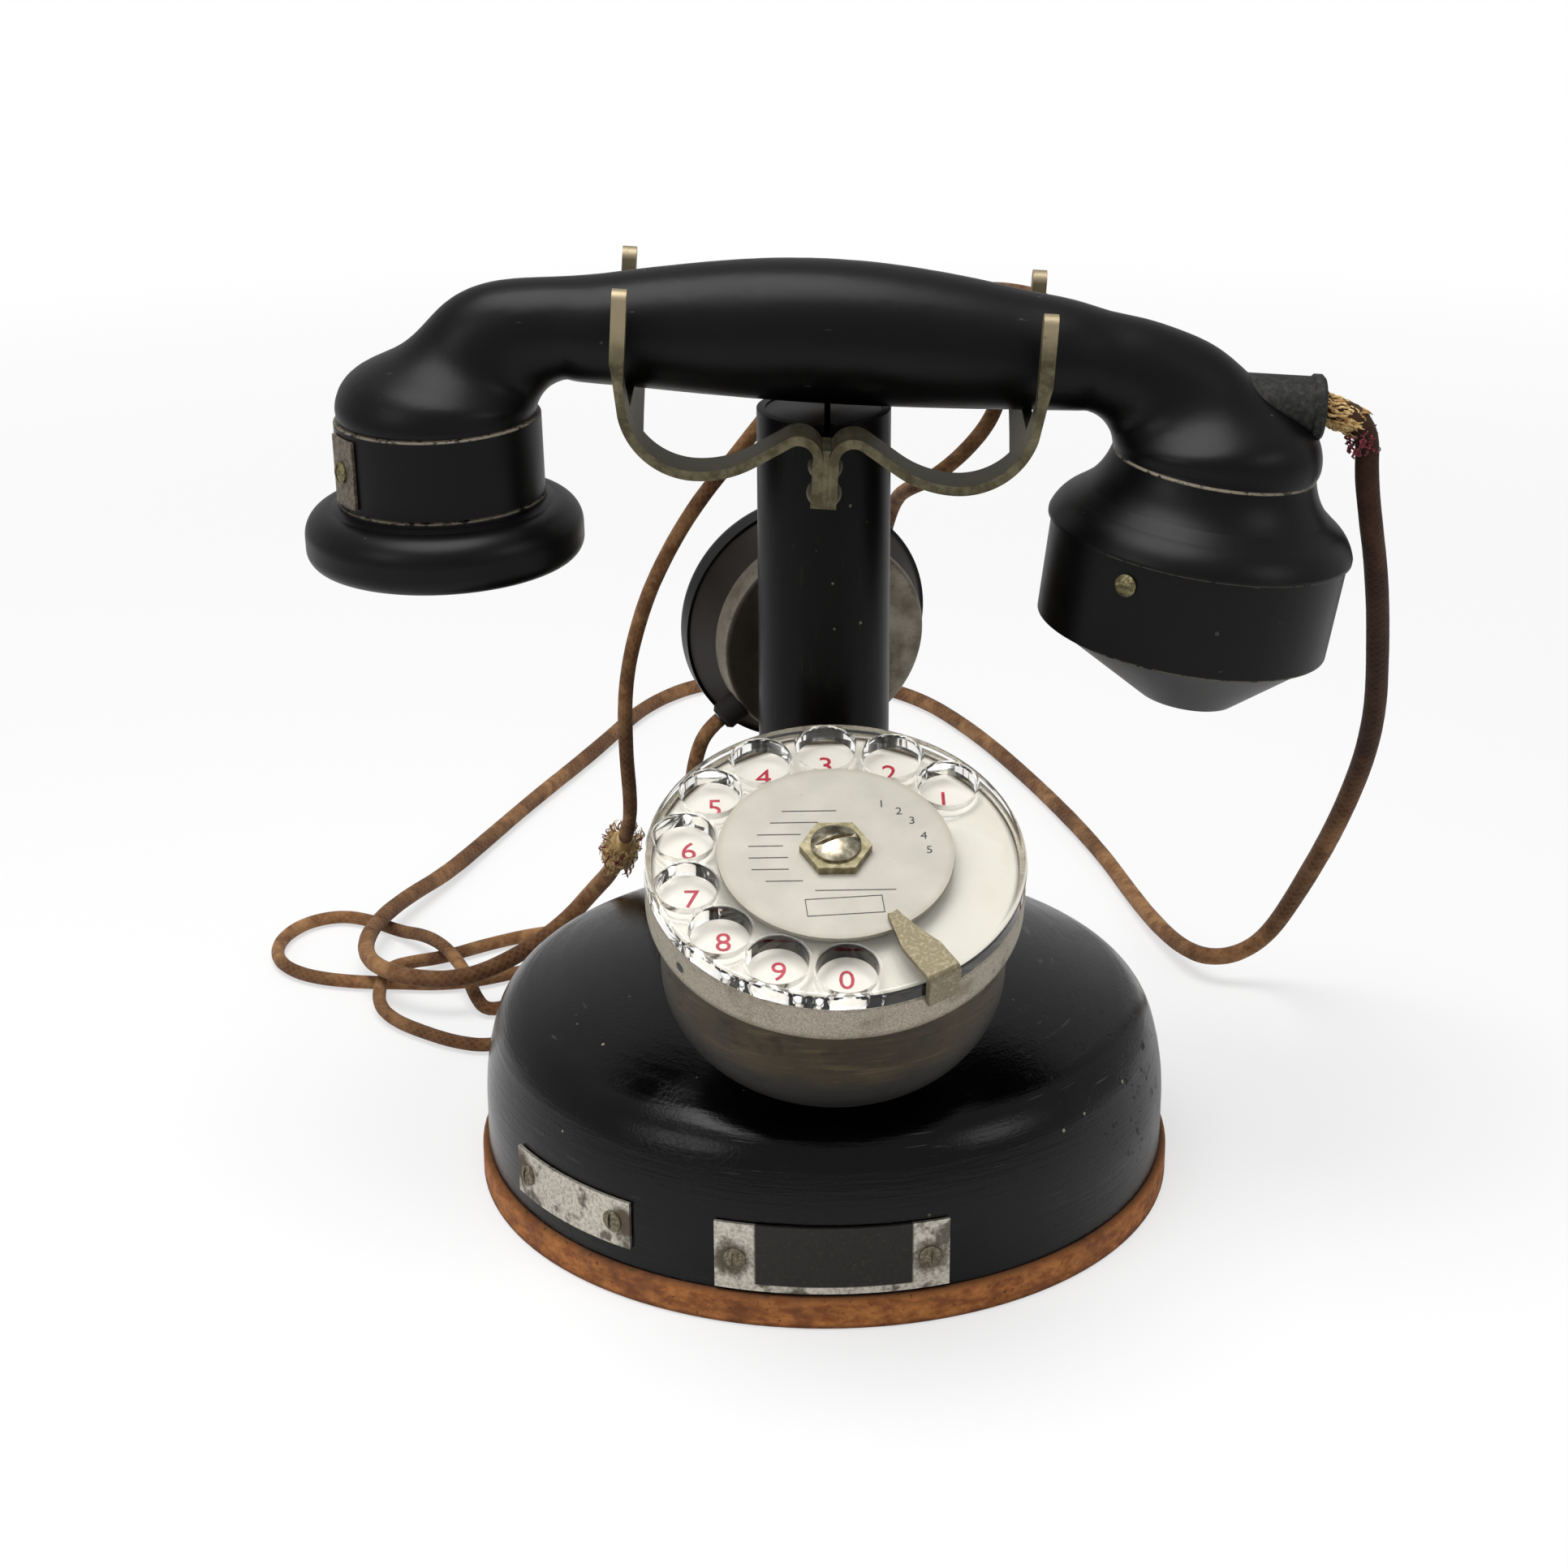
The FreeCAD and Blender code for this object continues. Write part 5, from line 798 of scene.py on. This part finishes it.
LINE_ROUTE = [
    (-17.9, 77.5, 14), (-22.37, 96.9, 14), (-31.5, 100, 7), (-43, 95, 2.4), (-57, 85.5, 1.9),
    (-69, 73.6, 1.9), (-79, 61.4, 1.9), (-88, 56.2, 1.9), (-97, 58.8, 1.9),
    (-106, 65, 1.9), (-114.6, 72.4, 1.9), (-119.8, 80.5, 2.6), (-120.2, 89, 4.8),
    (-118.2, 97, 6.3), (-113, 105, 4.2), (-104.5, 112.4, 1.9), (-92, 121, 1.9),
    (-79, 127.6, 1.9), (-62, 131.4, 1.9), (-43, 130, 1.9), (-24, 123.4, 1.9),
    (-6, 115.5, 1.9), (8, 113, 2.15), (18, 113, 2.15)]


handset_cord = braided("handset_cord_braid", HANDSET_ROUTE, HANDSET_CORD, seed=2, sleeve=0.17, rides=False)
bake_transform(handset_cord)
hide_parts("handset_cord")
branch_cord = braided("branch_cord_braid", BRANCH_ROUTE, THIN_CORD, seed=3, rides=False)
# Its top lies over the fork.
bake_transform(branch_cord)
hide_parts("branch_cord")
receiver_cord = braided("receiver_cord_braid", AUX_ROUTE, THIN_CORD, seed=4)
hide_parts("aux_cord")

# The line cord, in the same braid, ends in a small coil behind the base. It is wound
# inward on the table and outward again on top, and has a spade terminal at its tip.
COIL_MIDDLE, COIL_OUTER, COIL_STEP = (26, 140, 2.15), 27, 4.9
COIL_LAYER, COIL_TURNS, POINTS_A_TURN = 4.3, 3, 16
TAIL_TIP = 22


def wound():
    """The coil's points: a layer inward, then one outward on top of it."""
    points = []
    total = round((2 * COIL_TURNS + 0.5) * POINTS_A_TURN)
    for count in range(total + 1):
        turned = count / POINTS_A_TURN
        inward = min(turned, COIL_TURNS) - max(turned - COIL_TURNS - 0.5, 0)
        climbed = min(max(turned - COIL_TURNS, 0), 0.5) * 2
        climbed = climbed * climbed * (3 - 2 * climbed)
        angle = TURN * (turned - 0.25)
        reach = COIL_OUTER - COIL_STEP * inward
        points.append((COIL_MIDDLE[0] + reach * math.cos(angle),
                       COIL_MIDDLE[1] + reach * math.sin(angle),
                       COIL_MIDDLE[2] + COIL_LAYER * climbed))
    return points


coil_points = wound()
line_cord = braided("line_cord_braid", LINE_ROUTE + coil_points + [
    (TAIL_TIP, *coil_points[-1][1:])], THIN_CORD, seed=5)
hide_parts("line_cord", "line_coil")

# The bound joint: the braid has burst, and yellow cotton and a dark red whipping
# stand out of it. The cord is frayed in the same way where it enters the handset.
cotton = Finish("frayed_cotton", specular=0.15, Sheen_Weight=0.3)
tint = cotton.noise(2.2, detail=3)
colour = cotton.mix(tint.step(0.35, 0.65), tone("a87f48"), tone("e0c68c"))
dirty = cotton.noise(1.1, detail=3, shift=3).step(0.62, 0.7)
cotton.set("Base Color", cotton.mix(dirty * 0.6, colour, tone("5b3a22")))
cotton.set("Roughness", 0.85 + tint * 0.1)
cotton.bumps(cotton.noise(0.35, detail=3), 0.15, 0.7)
whipping = Finish("red_whipping", specular=0.15, Sheen_Weight=0.3)
whipping.set("Base Color", whipping.mix(whipping.noise(1.5), tone("5e1220"), tone("8e2433")))
whipping.set("Roughness", 0.85)
THREAD_SIDES, THREAD_PARTS, THREAD_TAPER = 5, 6, 0.6
SLEEVE_SIDES, BUMP_SHARE = 28, 0.05


def thread(mesh, spots, across):
    """One loose thread through a few points, tapered to its tip."""
    rings = []
    for index, spot in enumerate(spots):
        ahead = heading(spots, index)
        side = ahead.orthogonal().normalized()
        reach = across / 2 * (1 - THREAD_TAPER * index / (len(spots) - 1))
        rings.append(ring_round(mesh, spot, side, ahead.cross(side), reach, THREAD_SIDES))
    skinned(mesh, rings)


def frayed(name, foot, way, long, core, wide, count, across, curl, finish, seed):
    """A tuft of threads round a piece of cord: they leave its skin, arch and curl back."""
    chance = random.Random(seed)
    mesh = bmesh.new()
    foot, way = Vector(foot), Vector(way).normalized()
    side = way.orthogonal().normalized()
    other = way.cross(side)
    for _ in range(count):
        turn, at = chance.uniform(0, TURN), chance.uniform(0, 1)
        out = side * math.cos(turn) + other * math.sin(turn)
        forward = 1 if chance.uniform(-0.8, 0.8) > -0.3 else -1
        grow = chance.uniform(0.4, 1.0) * wide
        reach = chance.uniform(0.25, 0.6) * long * curl
        spin = out.cross(way) * chance.uniform(-1, 1) * wide
        spots = []
        for step in range(THREAD_PARTS + 1):
            part = step / THREAD_PARTS
            lift = math.sin(part * math.pi * 0.8) * grow
            spot = (foot + way * (at * long + reach * part * forward)
                    + out * (core + lift) + spin * part * part)
            spots.append(spot / 1000)
        thread(mesh, spots, across / 1000)
    tuft = piece_of(name, mesh, finish)
    return tuft


def lumpy(name, foot, way, stations, finish, seed):
    """A soft swollen sleeve: rings of different radius along a way, pushed about by waves."""
    chance = random.Random(seed)
    mesh = bmesh.new()
    way = Vector(way).normalized()
    side = way.orthogonal().normalized()
    other = way.cross(side)
    phases = [chance.uniform(0, TURN) for _ in range(4)]
    rings = []
    for at, reach in stations:
        ring = []
        for turn in range(SLEEVE_SIDES):
            angle = turn * TURN / SLEEVE_SIDES
            bump = (math.sin(angle * 3 + phases[0] + at * 0.9)
                    + math.sin(angle * 7 + phases[1] - at * 1.7) * 0.6
                    + math.sin(angle * 2 + phases[2] + at * 2.3) * 0.5) * BUMP_SHARE
            out = side * math.cos(angle) + other * math.sin(angle)
            spot = Vector(foot) + way * at + out * reach * (1 + bump)
            ring.append(mesh.verts.new(spot / 1000))
        rings.append(ring)
    skinned(mesh, rings)
    sleeve = piece_of(name, mesh, finish)
    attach(sleeve, "base")
    return sleeve


JOINT_STATIONS = ((-0.5, 2.4), (1, 3.0), (2.6, 3.9), (4.4, 4.5), (6.5, 4.7), (8.6, 4.4),
                  (10.6, 4.0), (12.6, 3.3), (14.6, 2.6), (16.4, 2.0))
joint_core = lumpy("joint_core", joint_foot, joint_way, JOINT_STATIONS, cotton, 7)
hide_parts("cord_joint")
fray_foot = joint_foot + joint_way * 1.5
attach(frayed("joint_threads", fray_foot, joint_way, 13, 3.6, 1.8, 190, 0.45, 0.7, cotton, 11),
        "base")
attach(frayed("joint_whipping", fray_foot, joint_way, 12, 3.8, 2.4, 34, 0.5, 0.5, whipping, 12),
        "base")

# The same fraying at the handset's ferrule, round the cord's first bend. It rises with the
# handset, as the ferrule does.
fray_foot = Vector((115.6, -4.4, 193.8))
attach(frayed("ferrule_threads", fray_foot, (0.85, 0, -0.4), 8, 2.6, 1.2, 260, 0.8, 0.8,
               cotton, 21), "handset")
fray_foot = fray_foot + Vector((8.6, -0.3, -5.5))
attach(frayed("ferrule_whipping", fray_foot, (0.2, 0, -1), 5, 2.8, 1.2, 110, 0.6, 0.4,
               whipping, 22), "handset")
